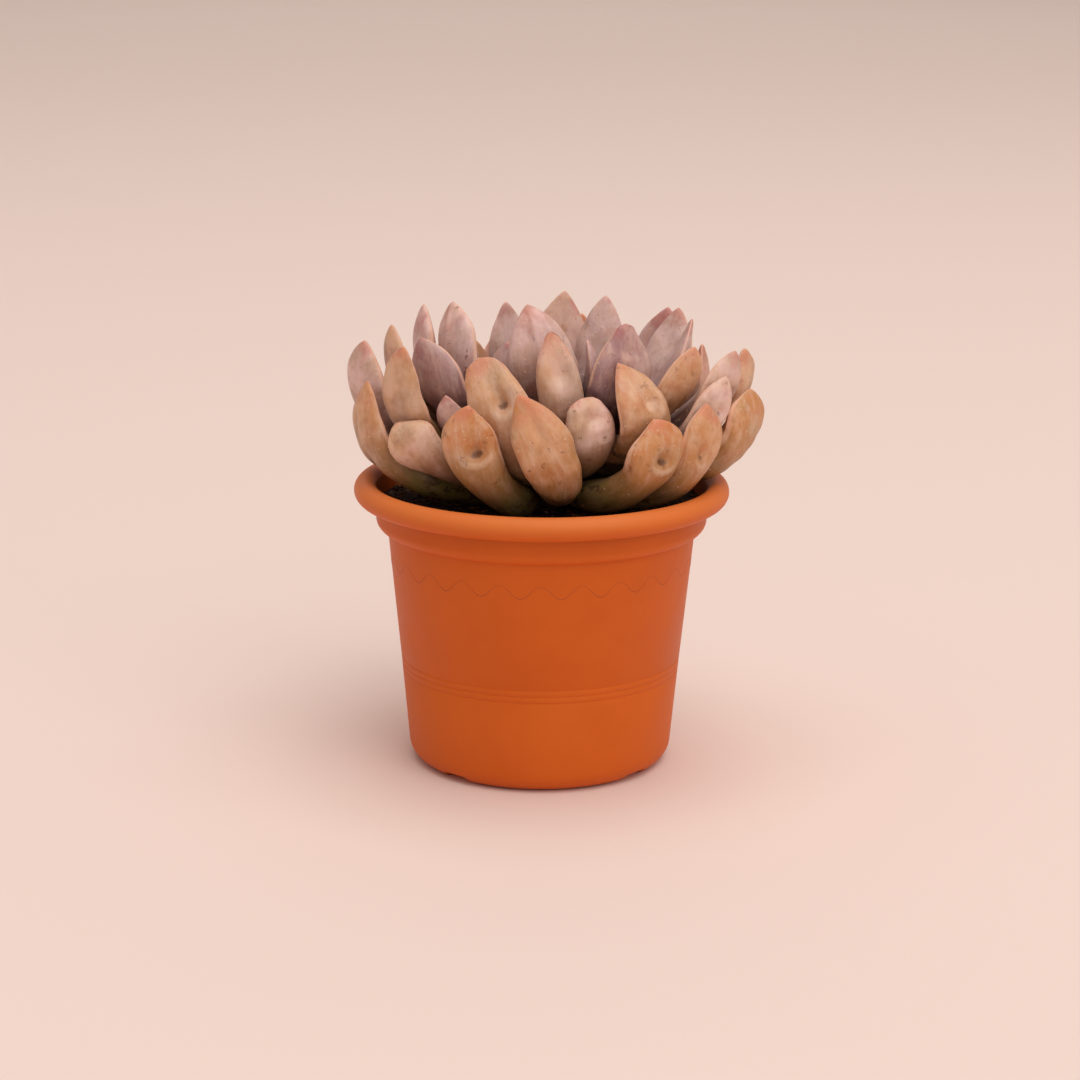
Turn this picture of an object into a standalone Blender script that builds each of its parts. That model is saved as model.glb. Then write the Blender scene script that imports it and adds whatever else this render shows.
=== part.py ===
"""Potted echeveria: a rosette of thick, bent leaves on a short stem, in soil, in a moulded plastic pot.

The origin is at the middle of the pot's base, on the surface that the pot stands on, with +Z up.
Azimuths are measured from the front of the plant, which faces -Y, and grow towards +X.
"""
import math

import bmesh
import bpy
import numpy as np
from mathutils import Vector

MM = 0.001
GAP = 0.3 * MM

# Pot, a thin moulded wall with a rolled rim, a shoulder under the rim and a notched foot.
RIM_RADIUS = 60.0 * MM
ROLL_RADIUS = 3.68 * MM
ROLL_CENTRE_HEIGHT = 88.9 * MM
ROLL_END = -75.0
WALL = 1.3 * MM
NECK_RADIUS = 53.0 * MM
NECK_TOP = 85.0 * MM
NECK_BOTTOM = 80.0 * MM
WALL_TOP_RADIUS = 49.3 * MM
BASE_RADIUS = 42.0 * MM
BASE_CORNER = 6.7 * MM
FLOOR_TOP = 4.0 * MM
FLOOR_RAISE = 2.5 * MM
FOOT_INNER_RADIUS = 33.5 * MM
PAD_RADIUS = 12.0 * MM
PAD_SLOPE = 1.5 * MM
NOTCH_HEIGHT = 2.7 * MM
NOTCH_TOP_WIDTH = 9.0 * MM
NOTCH_FOOT_WIDTH = 14.0 * MM
NOTCH_BELOW = 1.0 * MM
NOTCH_INSET = 2.5 * MM
NOTCH_OVERSHOOT = 5.0 * MM
NOTCH_AZIMUTHS = (49.0, 139.0, 229.0, 319.0)
DRAIN_HOLE_RADIUS = 3.0 * MM
DRAIN_HOLE_REACH = 25.0 * MM
DRAIN_STEPS = 16
POT_STEPS = 48
ROLL_STEPS = 9
CURL_START = 165.0
CURL_STEPS = 5
CORNER_STEPS = 4
SHOULDER_STEPS = 4
INNER_SHOULDER_STEPS = 3

# Soil, filled to just below the neck's top, with a hole for the stem.
SOIL_TOP = 85.0 * MM
SOIL_DISH = 1.0 * MM
STEM_HOLE_DEPTH = 24.0 * MM
DISH_MIDDLE = 0.45
DISH_OUTSIDE = 0.8

# Stem, mostly hidden by the leaves, with the youngest leaves as one bud on its end.
STEM_RADIUS = 9.0 * MM
STEM_SHOULDER = 111.0 * MM
STEM_TOP = 116.0 * MM
STEM_STEPS = 16
STEM_DOME_REACH = 0.75
STEM_DOME_RISE = 0.6
BUD_ROOT_REACH = 5.0 * MM

# Leaves sit on the stem in a spiral, a golden angle apart, oldest and lowest first.
GOLDEN_ANGLE = 137.508
FIRST_AZIMUTH = 295.5
FIRST_HEIGHT = 87.5 * MM
HEIGHT_STEP = 0.57 * MM
LEAF_COUNT = 42
BUD_LEAF_COUNT = 12
OLD_LEAF_COUNT = 20
LEAF_SIDES = 8
BUD_LEAF_SIDES = 6
BEND = 0.78
SEED = 7

# Stations along a leaf from root to tip, and its width and thickness there as shares of its head's width.
# Old leaves have club shapes, a round stalk under a spoon-like head, and young ones are pointed ovals.
STATIONS = (0.0, 0.10, 0.24, 0.40, 0.56, 0.69, 0.81, 0.90, 0.96, 0.99)
CLUB_WIDTHS = (0.32, 0.50, 0.66, 0.70, 0.80, 0.95, 1.00, 0.78, 0.40, 0.12)
OVAL_WIDTHS = (0.29, 0.42, 0.62, 0.84, 0.97, 1.00, 0.90, 0.66, 0.34, 0.11)
CLUB_THICKNESSES = (0.26, 0.42, 0.54, 0.56, 0.52, 0.46, 0.38, 0.29, 0.17, 0.08)
OVAL_THICKNESSES = (0.25, 0.34, 0.44, 0.46, 0.43, 0.38, 0.31, 0.23, 0.14, 0.07)
BLUNT_ENDS = (0.0, 0.0, 0.0, 0.0, 0.0, 0.0, 0.98, 0.95, 0.72, 0.36)
STALK_SHARES = (0.3, 0.8, 1.0, 1.0, 0.8, 0.35, 0.0, 0.0, 0.0, 0.0)
OVAL_FROM = 34
MARGIN_LIFT = 0.25
PIT_STATION = 6
KEEL_STATIONS = range(4, 9)

# Crowded leaves lean apart until each keeps clear of the others.
SETTLE_STATIONS = (0.03, 0.10, 0.18, 0.26, 0.34, 0.42, 0.50, 0.58, 0.66, 0.74, 0.81, 0.88, 0.94, 0.98)
SETTLE_ROUNDS = 160
SETTLE_GAP = 0.9 * MM
SETTLE_LENGTH = 0.7
SETTLE_FIRMNESS = 1.8
SETTLE_GAIN = 0.5
LEAST_HOLD = 0.2
RIM_APPROACH = (4.0 * MM, 1.0 * MM)

# The leaves that the plant's front shows, by their place in the spiral, in millimetres and degrees: tip
# azimuth, tip reach, tip height, head width, knee azimuth, knee reach, knee height, the azimuth that the
# back of the head faces, and the height of its keel, which is a pit where it is negative.
SHOWN_LEAVES = {
    0: (-76, 56, 126, 12.0, -60, 58, 94, -46, 0.0),
    1: (65, 55, 122, 18.0, 60, 57, 92, 42, -1.5),
    3: (-28, 46, 125, 17.5, -9, 45, 90, -12, -1.5),
    4: (115, 57, 132, 15.0, 120, 62, 96, 86, 0.0),
    5: (-99, 57, 119, 14.5, -97, 62, 94, -78, 0.0),
    6: (41, 50, 120, 20.0, 26, 50, 90, 32, -1.5),
    7: (165, 50, 138, 16.0, 165, 56, 96, 165, 0.0),
    8: (-61, 51, 116, 16.0, -44, 42, 97, 6, 0.0),
    9: (86, 65, 123, 21.5, 82, 64, 99, 48, 0.0),
    11: (-9, 46, 128, 18.0, 17, 50, 90, 4, -0.8),
    12: (136, 60, 141, 18.0, 141, 56, 102, 156, 0.0),
    13: (-88, 57, 136, 19.0, -92, 60, 104, -46, 0.0),
    14: (75, 60, 128, 15.0, 66, 54, 102, 30, -1.2),
    16: (-31, 39, 136, 20.0, -5, 43, 100, -8, -1.5),
    17: (98, 65, 133, 17.0, 100, 68, 104, 54, 0.0),
    18: (-110, 40, 146, 18.0, -102, 40, 106, -62, 0.0),
    19: (19, 37, 125, 16.0, 29, 42, 98, 16, -1.0),
    20: (171, 46, 146, 20.0, 178, 46, 106, 180, 0.0),
    21: (-56, 51, 139, 16.0, -68, 50, 106, -34, 0.0),
    22: (89, 61, 134, 17.5, 81, 54, 108, 40, 0.5),
    23: (-146, 39, 131, 16.0, -142, 41, 104, -142, 0.0),
    24: (-6, 24, 118, 10.0, -4, 28, 106, -4, 0.0),
    25: (128, 57, 142, 18.5, 124, 48, 108, 146, 0.0),
    26: (-83, 46, 143, 15.0, -92, 45, 110, -50, 0.0),
    27: (37, 38, 135, 20.0, 49, 57, 106, 40, -1.0),
    29: (-52, 38, 124, 11.5, -52, 34, 106, -30, 0.0),
    30: (112, 52, 141, 13.0, 108, 42, 112, 90, 0.0),
    31: (-126, 36, 137, 13.5, -124, 38, 110, -126, 0.0),
    32: (2, 27, 145, 14.5, 12, 30, 112, 4, -1.0),
    33: (149, 40, 146, 17.5, 150, 38, 112, 165, 0.0),
    34: (-68, 42, 139, 20.0, -56, 35, 112, -26, 0.0),
    35: (67, 51, 138, 17.5, 69, 43, 112, 34, 0.0),
    36: (-154, 27, 145, 14.0, -161, 29, 114, -165, 0.0),
    37: (-14, 19, 150, 21.0, 14, 27, 118, 4, 1.2),
    38: (125, 29, 135, 16.0, 121, 28, 112, 121, 0.0),
    39: (-100, 30, 148, 22.0, -84, 28, 117, -44, 1.2),
    40: (47, 35, 146, 21.5, 45, 37, 116, 27, 0.0),
    41: (174, 22, 139, 14.0, 173, 22, 113, 173, 0.0),
}

# Points that the centre lines of heads set askew on their stalks aim at: azimuth, reach and height.
HEAD_STANDS = {
    0: (-74, 60, 104),
    3: (-31, 48, 107),
    6: (47, 53, 104),
    8: (-55, 47, 105),
    19: (26, 41, 112),
}

# How much stouter than the rule some stalks are, and how blunt some heads' ends are.
STALKS = {0: 1.45, 3: 1.05, 6: 1.0, 21: 1.15, 9: 1.2}
BLUNT = {16: 0.8, 19: 0.8, 8: 0.4, 40: 0.5, 32: 0.5, 36: 0.3, 37: 0.3, 20: 0.2, 11: 0.3}

# Sizes in millimetres and degrees of the leaves that the front hides, for the oldest and the youngest.
HIDDEN_REACHES = (58.0, 24.0)
HIDDEN_HEIGHTS = (125.0, 139.0)
HIDDEN_WIDTHS = (18.5, 16.5)
HIDDEN_KNEES_BEYOND = (7.0, -1.0)
HIDDEN_KNEE_HEIGHTS = (92.0, 114.0)
HIDDEN_STRETCH = 2.0
HIDDEN_SWING = 5.0
FRONT_DIP = 4.0
BUD_REACHES = (15.0, 3.0)
BUD_HEIGHTS = (138.0, 128.0)
BUD_WIDTHS = (12.0, 6.0)
BUD_KNEES_BEYOND = (5.0, 2.0)
BUD_KNEE_HEIGHT = 120.0
BUD_SWING = 4.0


def outward(azimuth):
    """Unit vectors along the ground, away from the stem, at azimuths in degrees."""
    angle = np.radians(azimuth)
    return np.stack([np.sin(angle), -np.cos(angle), np.zeros_like(angle)], axis=-1)


def sideways(azimuth):
    """Unit vectors along the ground, square to outward, towards growing azimuths."""
    angle = np.radians(azimuth)
    return np.stack([np.cos(angle), np.sin(angle), np.zeros_like(angle)], axis=-1)


def polar(azimuth, reach, height):
    point = outward(float(azimuth)) * reach
    point[2] = height
    return point


def short_turn(azimuth, target):
    """The target azimuth, written as the near side of the given one."""
    return azimuth + (target - azimuth + 180.0) % 360.0 - 180.0


def between(pair, share):
    return pair[0] + (pair[1] - pair[0]) * share


def leaf_rows():
    """Every leaf's sizes: those that the front shows, and the others by the spiral's own rule."""
    draw = np.random.default_rng(SEED)
    rows = []
    for place in range(LEAF_COUNT + BUD_LEAF_COUNT):
        azimuth = short_turn(0.0, FIRST_AZIMUTH + GOLDEN_ANGLE * place)
        swing, stretch = draw.uniform(-1.0, 1.0, 2)
        if place in SHOWN_LEAVES:
            row = SHOWN_LEAVES[place]
        elif place < LEAF_COUNT:
            age = place / LEAF_COUNT
            reach = between(HIDDEN_REACHES, age) + HIDDEN_STRETCH * stretch
            height = between(HIDDEN_HEIGHTS, age) - FRONT_DIP * math.cos(math.radians(azimuth)) + stretch
            row = (azimuth + HIDDEN_SWING * swing, reach, height, between(HIDDEN_WIDTHS, age) + stretch,
                   azimuth, reach + between(HIDDEN_KNEES_BEYOND, age), between(HIDDEN_KNEE_HEIGHTS, age),
                   azimuth, 0.0)
        else:
            age = (place - LEAF_COUNT) / BUD_LEAF_COUNT
            reach = between(BUD_REACHES, age)
            row = (azimuth + BUD_SWING * swing, reach, between(BUD_HEIGHTS, age), between(BUD_WIDTHS, age),
                   azimuth, reach + between(BUD_KNEES_BEYOND, age), BUD_KNEE_HEIGHT, azimuth, 0.0)
        rows.append((azimuth,) + row)
    return rows


def leaf_controls(rows):
    """Four control points for each leaf's centre line, its head's width, the way that its back faces at
    its root and head, and its keel."""
    controls, widths, facings, keels = [], [], [], []
    for place, row in enumerate(rows):
        azimuth, tip_azimuth, tip_reach, tip_height, width, knee_azimuth, knee_reach, knee_height = row[:8]
        knee = polar(knee_azimuth, knee_reach * MM, knee_height * MM)
        tip = polar(tip_azimuth, tip_reach * MM, tip_height * MM)
        root_height = FIRST_HEIGHT + HEIGHT_STEP * min(place, LEAF_COUNT)
        root_reach = BUD_ROOT_REACH
        if place < LEAF_COUNT:
            away = knee - polar(azimuth, STEM_RADIUS, root_height)
            away /= np.linalg.norm(away)
            tilt = math.sqrt(1.0 - min(1.0, (away @ outward(azimuth)) ** 2))
            root_reach = STEM_RADIUS + GAP + tilt * CLUB_WIDTHS[0] * width * MM / 2
        root = polar(azimuth, root_reach, root_height)
        stand = tip + BEND * (knee - tip)
        if place in HEAD_STANDS:
            azimuth_there, reach_there, height_there = HEAD_STANDS[place]
            stand = polar(azimuth_there, reach_there * MM, height_there * MM)
        controls.append((root, root + BEND * (knee - root), stand, tip))
        widths.append(width * MM)
        facings.append((azimuth, short_turn(azimuth, row[8])))
        keels.append(row[9] * MM)
    return np.array(controls), np.array(widths), np.array(facings), np.array(keels)


def bezier_weights(along):
    """Shares of the four control points, and of their slope, at each fraction along a centre line."""
    back = 1.0 - along
    shares = np.stack([back ** 3, 3 * back ** 2 * along, 3 * back * along ** 2, along ** 3], axis=1)
    slopes = np.stack([-3 * back ** 2, 3 * back ** 2 - 6 * back * along,
                       6 * back * along - 3 * along ** 2, 3 * along ** 2], axis=1)
    return shares, slopes


def leaf_frames(controls, facings, along):
    """Centre points and the directions along, across and out of the back of each leaf."""
    shares, slopes = bezier_weights(along)
    centres = np.einsum("km,lmc->lkc", shares, controls)
    ahead = np.einsum("km,lmc->lkc", slopes, controls)
    ahead /= np.linalg.norm(ahead, axis=2, keepdims=True)
    turn = facings[:, :1] + (facings[:, 1:] - facings[:, :1]) * along[None, :]
    across = sideways(turn)
    across -= ahead * (across * ahead).sum(axis=2, keepdims=True)
    across /= np.linalg.norm(across, axis=2, keepdims=True)
    return centres, ahead, across, np.cross(across, ahead)


def leaf_profile(place, along):
    """Width and thickness along a leaf as shares of its head's width: old ones are clubs, young ones ovals."""
    oval = min(1.0, place / OVAL_FROM)
    widths = between((np.array(CLUB_WIDTHS), np.array(OVAL_WIDTHS)), oval)
    thicknesses = between((np.array(CLUB_THICKNESSES), np.array(OVAL_THICKNESSES)), oval)
    widths = np.maximum(widths, BLUNT.get(place, 0.0) * np.array(BLUNT_ENDS))
    stout = 1.0 + (STALKS.get(place, 1.0) - 1.0) * np.array(STALK_SHARES)
    return np.interp(along, STATIONS, widths * stout), np.interp(along, STATIONS, thicknesses * stout)


def settle(controls, widths, facings, keels):
    """Lean crowded leaves apart: each short length of leaf is an ellipsoid that pushes the others away."""
    along = np.array(SETTLE_STATIONS)
    shares = bezier_weights(along)[0]
    movable = shares * np.array((0.0, 1.0, 1.0, 1.0))
    leaf_count, step_count = len(controls), len(along)
    profiles = [leaf_profile(place, along) for place in range(leaf_count)]
    half_widths = np.array([profile[0] for profile in profiles]) * widths[:, None] / 2
    half_thicknesses = np.array([profile[1] for profile in profiles]) * widths[:, None] / 2
    half_thicknesses += np.maximum(0.0, keels)[:, None] / 2
    leaf_of = np.repeat(np.arange(leaf_count), step_count)
    for _ in range(SETTLE_ROUNDS):
        centres, ahead, across, out = leaf_frames(controls, facings, along)
        half_lengths = np.linalg.norm(np.gradient(centres, axis=1), axis=2) * SETTLE_LENGTH
        axes = np.stack([across, out, ahead], axis=2).reshape(-1, 3, 3)
        sizes = np.stack([half_widths, half_thicknesses, half_lengths], axis=2).reshape(-1, 3) + SETTLE_GAP / 2
        spreads = np.einsum("pic,pi,pid->pcd", axes, sizes ** 2, axes)
        points = centres.reshape(-1, 3)
        reach = sizes.max(axis=1)
        near = np.linalg.norm(points[:, None] - points[None], axis=2) < reach[:, None] + reach[None]
        near &= leaf_of[:, None] < leaf_of[None]
        near &= (leaf_of[:, None] < LEAF_COUNT) | (leaf_of[None] < LEAF_COUNT)
        first, second = np.nonzero(near)
        apart = points[second] - points[first]
        pull = np.linalg.solve(SETTLE_FIRMNESS * (spreads[first] + spreads[second]), apart[..., None])[..., 0]
        touch = (pull * apart).sum(axis=1)
        hit = touch < 1.0
        first, second, pull, touch = first[hit], second[hit], pull[hit], touch[hit]
        push = pull * ((1.0 - touch) / (2.0 * (pull ** 2).sum(axis=1)))[:, None]
        pushes = np.zeros_like(points)
        counts = np.zeros(len(points))
        np.add.at(pushes, first, -push / 2)
        np.add.at(pushes, second, push / 2)
        np.add.at(counts, first, 1.0)
        np.add.at(counts, second, 1.0)
        pushes = (pushes / np.maximum(counts, 1.0)[:, None]).reshape(centres.shape)
        lows = centres[..., 2] - lowest_reach(across, out, half_widths, half_thicknesses)
        floors = ground_height(np.hypot(centres[..., 0], centres[..., 1]))
        pushes[..., 2] += np.maximum(0.0, floors - lows)
        pushed = (np.linalg.norm(pushes, axis=2) > 0.0).astype(float)
        totals = np.einsum("lk,km->lm", pushed, movable)
        moves = np.einsum("km,lkc->lmc", movable, pushes) / np.maximum(totals, LEAST_HOLD)[..., None]
        controls = controls + SETTLE_GAIN * moves
    return controls


def ground_height(reach):
    """Height that a leaf's underside keeps above: soil inside the pot, the rolled rim at its edge."""
    rim_top = ROLL_CENTRE_HEIGHT + ROLL_RADIUS
    rim_inside = RIM_RADIUS - 2 * ROLL_RADIUS
    return GAP + np.interp(reach, (rim_inside - RIM_APPROACH[0], rim_inside + RIM_APPROACH[1]),
                           (SOIL_TOP, rim_top))


def lowest_reach(across, out, half_widths, half_thicknesses):
    """How far each section of a leaf reaches below its centre."""
    return np.hypot(across[..., 2] * half_widths, out[..., 2] * half_thicknesses)


def material(name, colour, roughness):
    finish = bpy.data.materials.new(name)
    finish.use_nodes = True
    shader = finish.node_tree.nodes["Principled BSDF"]
    shader.inputs["Base Color"].default_value = (*colour, 1.0)
    shader.inputs["Roughness"].default_value = roughness
    return finish


def make_object(name, shape, finish, sharp_angle=40.0):
    bmesh.ops.recalc_face_normals(shape, faces=shape.faces)
    mesh = bpy.data.meshes.new(name)
    shape.to_mesh(mesh)
    shape.free()
    mesh.shade_smooth()
    mesh.set_sharp_from_angle(angle=math.radians(sharp_angle))
    mesh.materials.append(finish)
    made = bpy.data.objects.new(name, mesh)
    bpy.context.collection.objects.link(made)
    return made


def turned(profile, steps):
    """A closed round body from the points (radius, height) round its section."""
    shape = bmesh.new()
    points = [shape.verts.new((radius, 0.0, height)) for radius, height in profile]
    edges = [shape.edges.new(pair) for pair in zip(points, points[1:] + points[:1])
             if max(pair[0].co.x, pair[1].co.x) > 0.0]
    bmesh.ops.spin(shape, geom=points + edges, cent=(0, 0, 0), axis=(0, 0, 1), angle=math.tau,
                   steps=steps, use_merge=True)
    bmesh.ops.remove_doubles(shape, verts=shape.verts, dist=0.01 * MM)
    return shape


def arc(centre, radius, start, end, steps):
    """Points (radius, height) along an arc of the section, between two angles in degrees."""
    angles = [math.radians(start + (end - start) * step / steps) for step in range(steps + 1)]
    return [(centre[0] + radius * math.cos(angle), centre[1] + radius * math.sin(angle)) for angle in angles]


def wall_radius(height):
    """The pot's outer radius on its straight wall."""
    return BASE_RADIUS + (WALL_TOP_RADIUS - BASE_RADIUS) * height / NECK_BOTTOM


def pot_profile():
    roll = (RIM_RADIUS - ROLL_RADIUS, ROLL_CENTRE_HEIGHT)
    step = NECK_RADIUS - WALL_TOP_RADIUS
    shoulder = (WALL_TOP_RADIUS, NECK_BOTTOM)
    outside_curl = arc(roll, ROLL_RADIUS, ROLL_END, 180.0, ROLL_STEPS)
    inside_curl = arc(roll, ROLL_RADIUS - WALL, CURL_START, ROLL_END, CURL_STEPS)
    inner_wall = [(NECK_RADIUS - WALL, NECK_TOP)]
    inner_wall += arc(shoulder, step - WALL, 0.0, -90.0, INNER_SHOULDER_STEPS)
    inner_wall += [(wall_radius(NECK_BOTTOM - step) - WALL, NECK_BOTTOM - step),
                   (wall_radius(FLOOR_TOP) - WALL, FLOOR_TOP), (0.0, FLOOR_TOP)]
    underside = [(0.0, 0.0), (PAD_RADIUS, 0.0), (PAD_RADIUS + PAD_SLOPE, FLOOR_RAISE),
                 (FOOT_INNER_RADIUS - PAD_SLOPE, FLOOR_RAISE), (FOOT_INNER_RADIUS, 0.0)]
    corner_centre = (wall_radius(BASE_CORNER) - BASE_CORNER, BASE_CORNER)
    corner = arc(corner_centre, BASE_CORNER, -90.0, 0.0, CORNER_STEPS)
    neck = arc(shoulder, step, -90.0, 0.0, SHOULDER_STEPS) + [(NECK_RADIUS, NECK_TOP)]
    return outside_curl + inner_wall + underside + corner + neck + inside_curl


def notch_cutter(azimuth):
    """A wedge across the foot, wider at the bottom, along the direction of its azimuth."""
    shape = bmesh.new()
    near, far = FOOT_INNER_RADIUS + NOTCH_INSET, BASE_RADIUS + NOTCH_OVERSHOOT
    section = ((-NOTCH_FOOT_WIDTH / 2, -NOTCH_BELOW), (NOTCH_FOOT_WIDTH / 2, -NOTCH_BELOW),
               (NOTCH_TOP_WIDTH / 2, NOTCH_HEIGHT), (-NOTCH_TOP_WIDTH / 2, NOTCH_HEIGHT))
    side, away = sideways(float(azimuth)), outward(float(azimuth))
    corners = [shape.verts.new(side * x + away * near + np.array((0, 0, z))) for x, z in section]
    face = shape.faces.new(corners)
    grown = bmesh.ops.extrude_face_region(shape, geom=[face])["geom"]
    bmesh.ops.translate(shape, vec=Vector(away * (far - near)),
                        verts=[item for item in grown if isinstance(item, bmesh.types.BMVert)])
    return shape


def drain_cutter(azimuth):
    shape = bmesh.new()
    bmesh.ops.create_cone(shape, cap_ends=True, segments=DRAIN_STEPS, radius1=DRAIN_HOLE_RADIUS,
                          radius2=DRAIN_HOLE_RADIUS, depth=3 * FLOOR_TOP)
    bmesh.ops.translate(shape, verts=shape.verts, vec=Vector(outward(float(azimuth)) * DRAIN_HOLE_REACH))
    return shape


def join_by(target, tools, operation):
    """Apply one Boolean of the target with all the tools, and remove the tools."""
    group = bpy.data.collections.new(target.name + " tools")
    for tool in tools:
        group.objects.link(tool)
    cut = target.modifiers.new(operation.title(), "BOOLEAN")
    cut.operation = operation
    cut.operand_type = "COLLECTION"
    cut.collection = group
    cut.solver = "EXACT"
    graph = bpy.context.evaluated_depsgraph_get()
    result = bpy.data.meshes.new_from_object(target.evaluated_get(graph))
    target.modifiers.clear()
    target.data = result
    for tool in tools:
        bpy.data.objects.remove(tool)
    bpy.data.collections.remove(group)


def make_pot(finish):
    pot = make_object("pot", turned(pot_profile(), POT_STEPS), finish)
    tools = []
    for place, azimuth in enumerate(NOTCH_AZIMUTHS):
        tools.append(make_object(f"notch_{place}", notch_cutter(azimuth), finish))
        tools.append(make_object(f"drain_{place}", drain_cutter(azimuth), finish))
    join_by(pot, tools, "DIFFERENCE")


def make_soil(finish):
    """Potting mix that fills the pot, dished a little, with a plain hole where the stem stands."""
    hole = STEM_RADIUS + GAP
    neck = NECK_RADIUS - WALL - GAP
    step_height = NECK_BOTTOM - (NECK_RADIUS - WALL_TOP_RADIUS)
    step = arc((WALL_TOP_RADIUS, NECK_BOTTOM), neck - WALL_TOP_RADIUS, 0.0, -90.0, INNER_SHOULDER_STEPS)
    floor = FLOOR_TOP + GAP
    profile = [(0.0, SOIL_TOP - STEM_HOLE_DEPTH), (hole, SOIL_TOP - STEM_HOLE_DEPTH), (hole, SOIL_TOP),
               (DISH_MIDDLE * neck, SOIL_TOP - SOIL_DISH), (DISH_OUTSIDE * neck, SOIL_TOP - SOIL_DISH / 2),
               (neck, SOIL_TOP)] + step
    profile += [(wall_radius(step_height) - WALL - GAP, step_height), (wall_radius(floor) - WALL - GAP, floor),
                (0.0, floor)]
    make_object("soil", turned(profile, POT_STEPS), finish)


def leaf_shape(place, controls, width, facing, keel):
    """One closed leaf: rings of points along its centre line, closed at its root and at its pointed tip."""
    in_bud = place >= LEAF_COUNT
    along = np.array(STATIONS[::3] if in_bud else STATIONS)
    sides = BUD_LEAF_SIDES if in_bud else LEAF_SIDES
    centres, _, across, out = (part[0] for part in leaf_frames(controls[None], facing[None], along))
    widths, thicknesses = leaf_profile(place, along)
    shape = bmesh.new()
    rings = []
    for step in range(len(along)):
        ring = []
        for side in range(sides):
            angle = math.tau * side / sides
            rise = math.sin(angle)
            bulge = rise * (1.0 + math.copysign(MARGIN_LIFT, rise)) - MARGIN_LIFT
            point = (centres[step] + across[step] * math.cos(angle) * widths[step] * width / 2
                     + out[step] * bulge * thicknesses[step] * width / 2)
            if side == sides // 4 and (step == PIT_STATION or (keel > 0.0 and step in KEEL_STATIONS)):
                point = point + out[step] * keel
            ring.append(shape.verts.new(point))
        if rings:
            for side in range(sides):
                after = (side + 1) % sides
                shape.faces.new((rings[-1][side], rings[-1][after], ring[after], ring[side]))
        rings.append(ring)
    shape.faces.new(rings[0])
    tip = shape.verts.new(controls[3])
    for side in range(sides):
        shape.faces.new((rings[-1][side], rings[-1][(side + 1) % sides], tip))
    bmesh.ops.triangulate(shape, faces=shape.faces)
    return shape


def make_plant(stem_finish, old_finish, young_finish):
    controls, widths, facings, keels = leaf_controls(leaf_rows())
    controls = settle(controls, widths, facings, keels)
    stem_foot = SOIL_TOP - STEM_HOLE_DEPTH + GAP
    stem_profile = [(0.0, stem_foot), (STEM_RADIUS, stem_foot), (STEM_RADIUS, STEM_SHOULDER),
                    (STEM_DOME_REACH * STEM_RADIUS, between((STEM_SHOULDER, STEM_TOP), STEM_DOME_RISE)), (0.0, STEM_TOP)]
    stem = make_object("stem_with_bud", turned(stem_profile, STEM_STEPS), stem_finish)
    bud = []
    for place in range(LEAF_COUNT + BUD_LEAF_COUNT):
        shape = leaf_shape(place, controls[place], widths[place], facings[place], keels[place])
        if place < LEAF_COUNT:
            make_object(f"leaf_{place:02d}", shape, old_finish if place < OLD_LEAF_COUNT else young_finish)
        else:
            bud.append(make_object(f"bud_leaf_{place}", shape, young_finish))
    join_by(stem, bud, "UNION")


def make_all():
    for item in list(bpy.data.objects):
        bpy.data.objects.remove(item)
    make_pot(material("Terracotta plastic", (0.56, 0.16, 0.045), 0.45))
    make_soil(material("Potting mix", (0.035, 0.022, 0.015), 0.95))
    make_plant(material("Stem", (0.30, 0.20, 0.10), 0.7), material("Old leaf", (0.55, 0.32, 0.20), 0.6),
               material("Young leaf", (0.42, 0.28, 0.29), 0.6))


make_all()
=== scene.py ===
import math

import bmesh
import bpy
import numpy as np
from mathutils import Matrix, Vector, noise


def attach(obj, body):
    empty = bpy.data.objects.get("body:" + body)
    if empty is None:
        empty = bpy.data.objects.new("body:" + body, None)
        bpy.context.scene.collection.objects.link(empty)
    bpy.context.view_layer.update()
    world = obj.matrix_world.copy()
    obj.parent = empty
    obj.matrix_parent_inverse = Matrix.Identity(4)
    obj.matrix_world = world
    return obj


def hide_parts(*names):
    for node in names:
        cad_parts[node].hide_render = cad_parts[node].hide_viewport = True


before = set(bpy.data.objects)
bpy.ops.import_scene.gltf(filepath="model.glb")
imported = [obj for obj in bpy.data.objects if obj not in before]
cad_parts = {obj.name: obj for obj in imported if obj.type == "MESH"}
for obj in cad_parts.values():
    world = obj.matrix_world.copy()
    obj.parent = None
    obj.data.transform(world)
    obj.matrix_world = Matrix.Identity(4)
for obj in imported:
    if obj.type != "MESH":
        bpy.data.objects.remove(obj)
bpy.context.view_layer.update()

# Pot: a thin nursery pot, injection-moulded in terracotta-coloured plastic, with a matt, fine-grained skin.
# The rim is rolled over, a shoulder steps in under it to a tapering wall with three turned grooves, and the
# foot is notched so that water runs out from the drain holes in its raised floor.
MM = 0.001
GAP = 0.3 * MM
RIM_RADIUS = 60.0 * MM
ROLL_RADIUS = 3.68 * MM
ROLL_CENTRE_HEIGHT = 88.9 * MM
ROLL_END = -75.0
WALL = 1.3 * MM
NECK_RADIUS = 53.0 * MM
NECK_TOP = 85.0 * MM
NECK_BOTTOM = 80.0 * MM
WALL_TOP_RADIUS = 49.3 * MM
BASE_RADIUS = 42.0 * MM
BASE_CORNER = 6.7 * MM
FLOOR_TOP = 4.0 * MM
FLOOR_RAISE = 2.5 * MM
FOOT_INNER_RADIUS = 33.5 * MM
PAD_RADIUS = 12.0 * MM
PAD_SLOPE = 1.5 * MM
GROOVE_HEIGHTS = (30.5 * MM, 32.6 * MM, 34.7 * MM)
GROOVE_DEPTH = 0.22 * MM
GROOVE_HALF_WIDTH = 0.45 * MM
NOTCH_HEIGHT = 2.7 * MM
NOTCH_TOP_WIDTH = 9.0 * MM
NOTCH_FOOT_WIDTH = 14.0 * MM
NOTCH_ROUNDING = 1.2 * MM
NOTCH_BELOW = 4.0 * MM
NOTCH_INSET = 2.5 * MM
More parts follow.
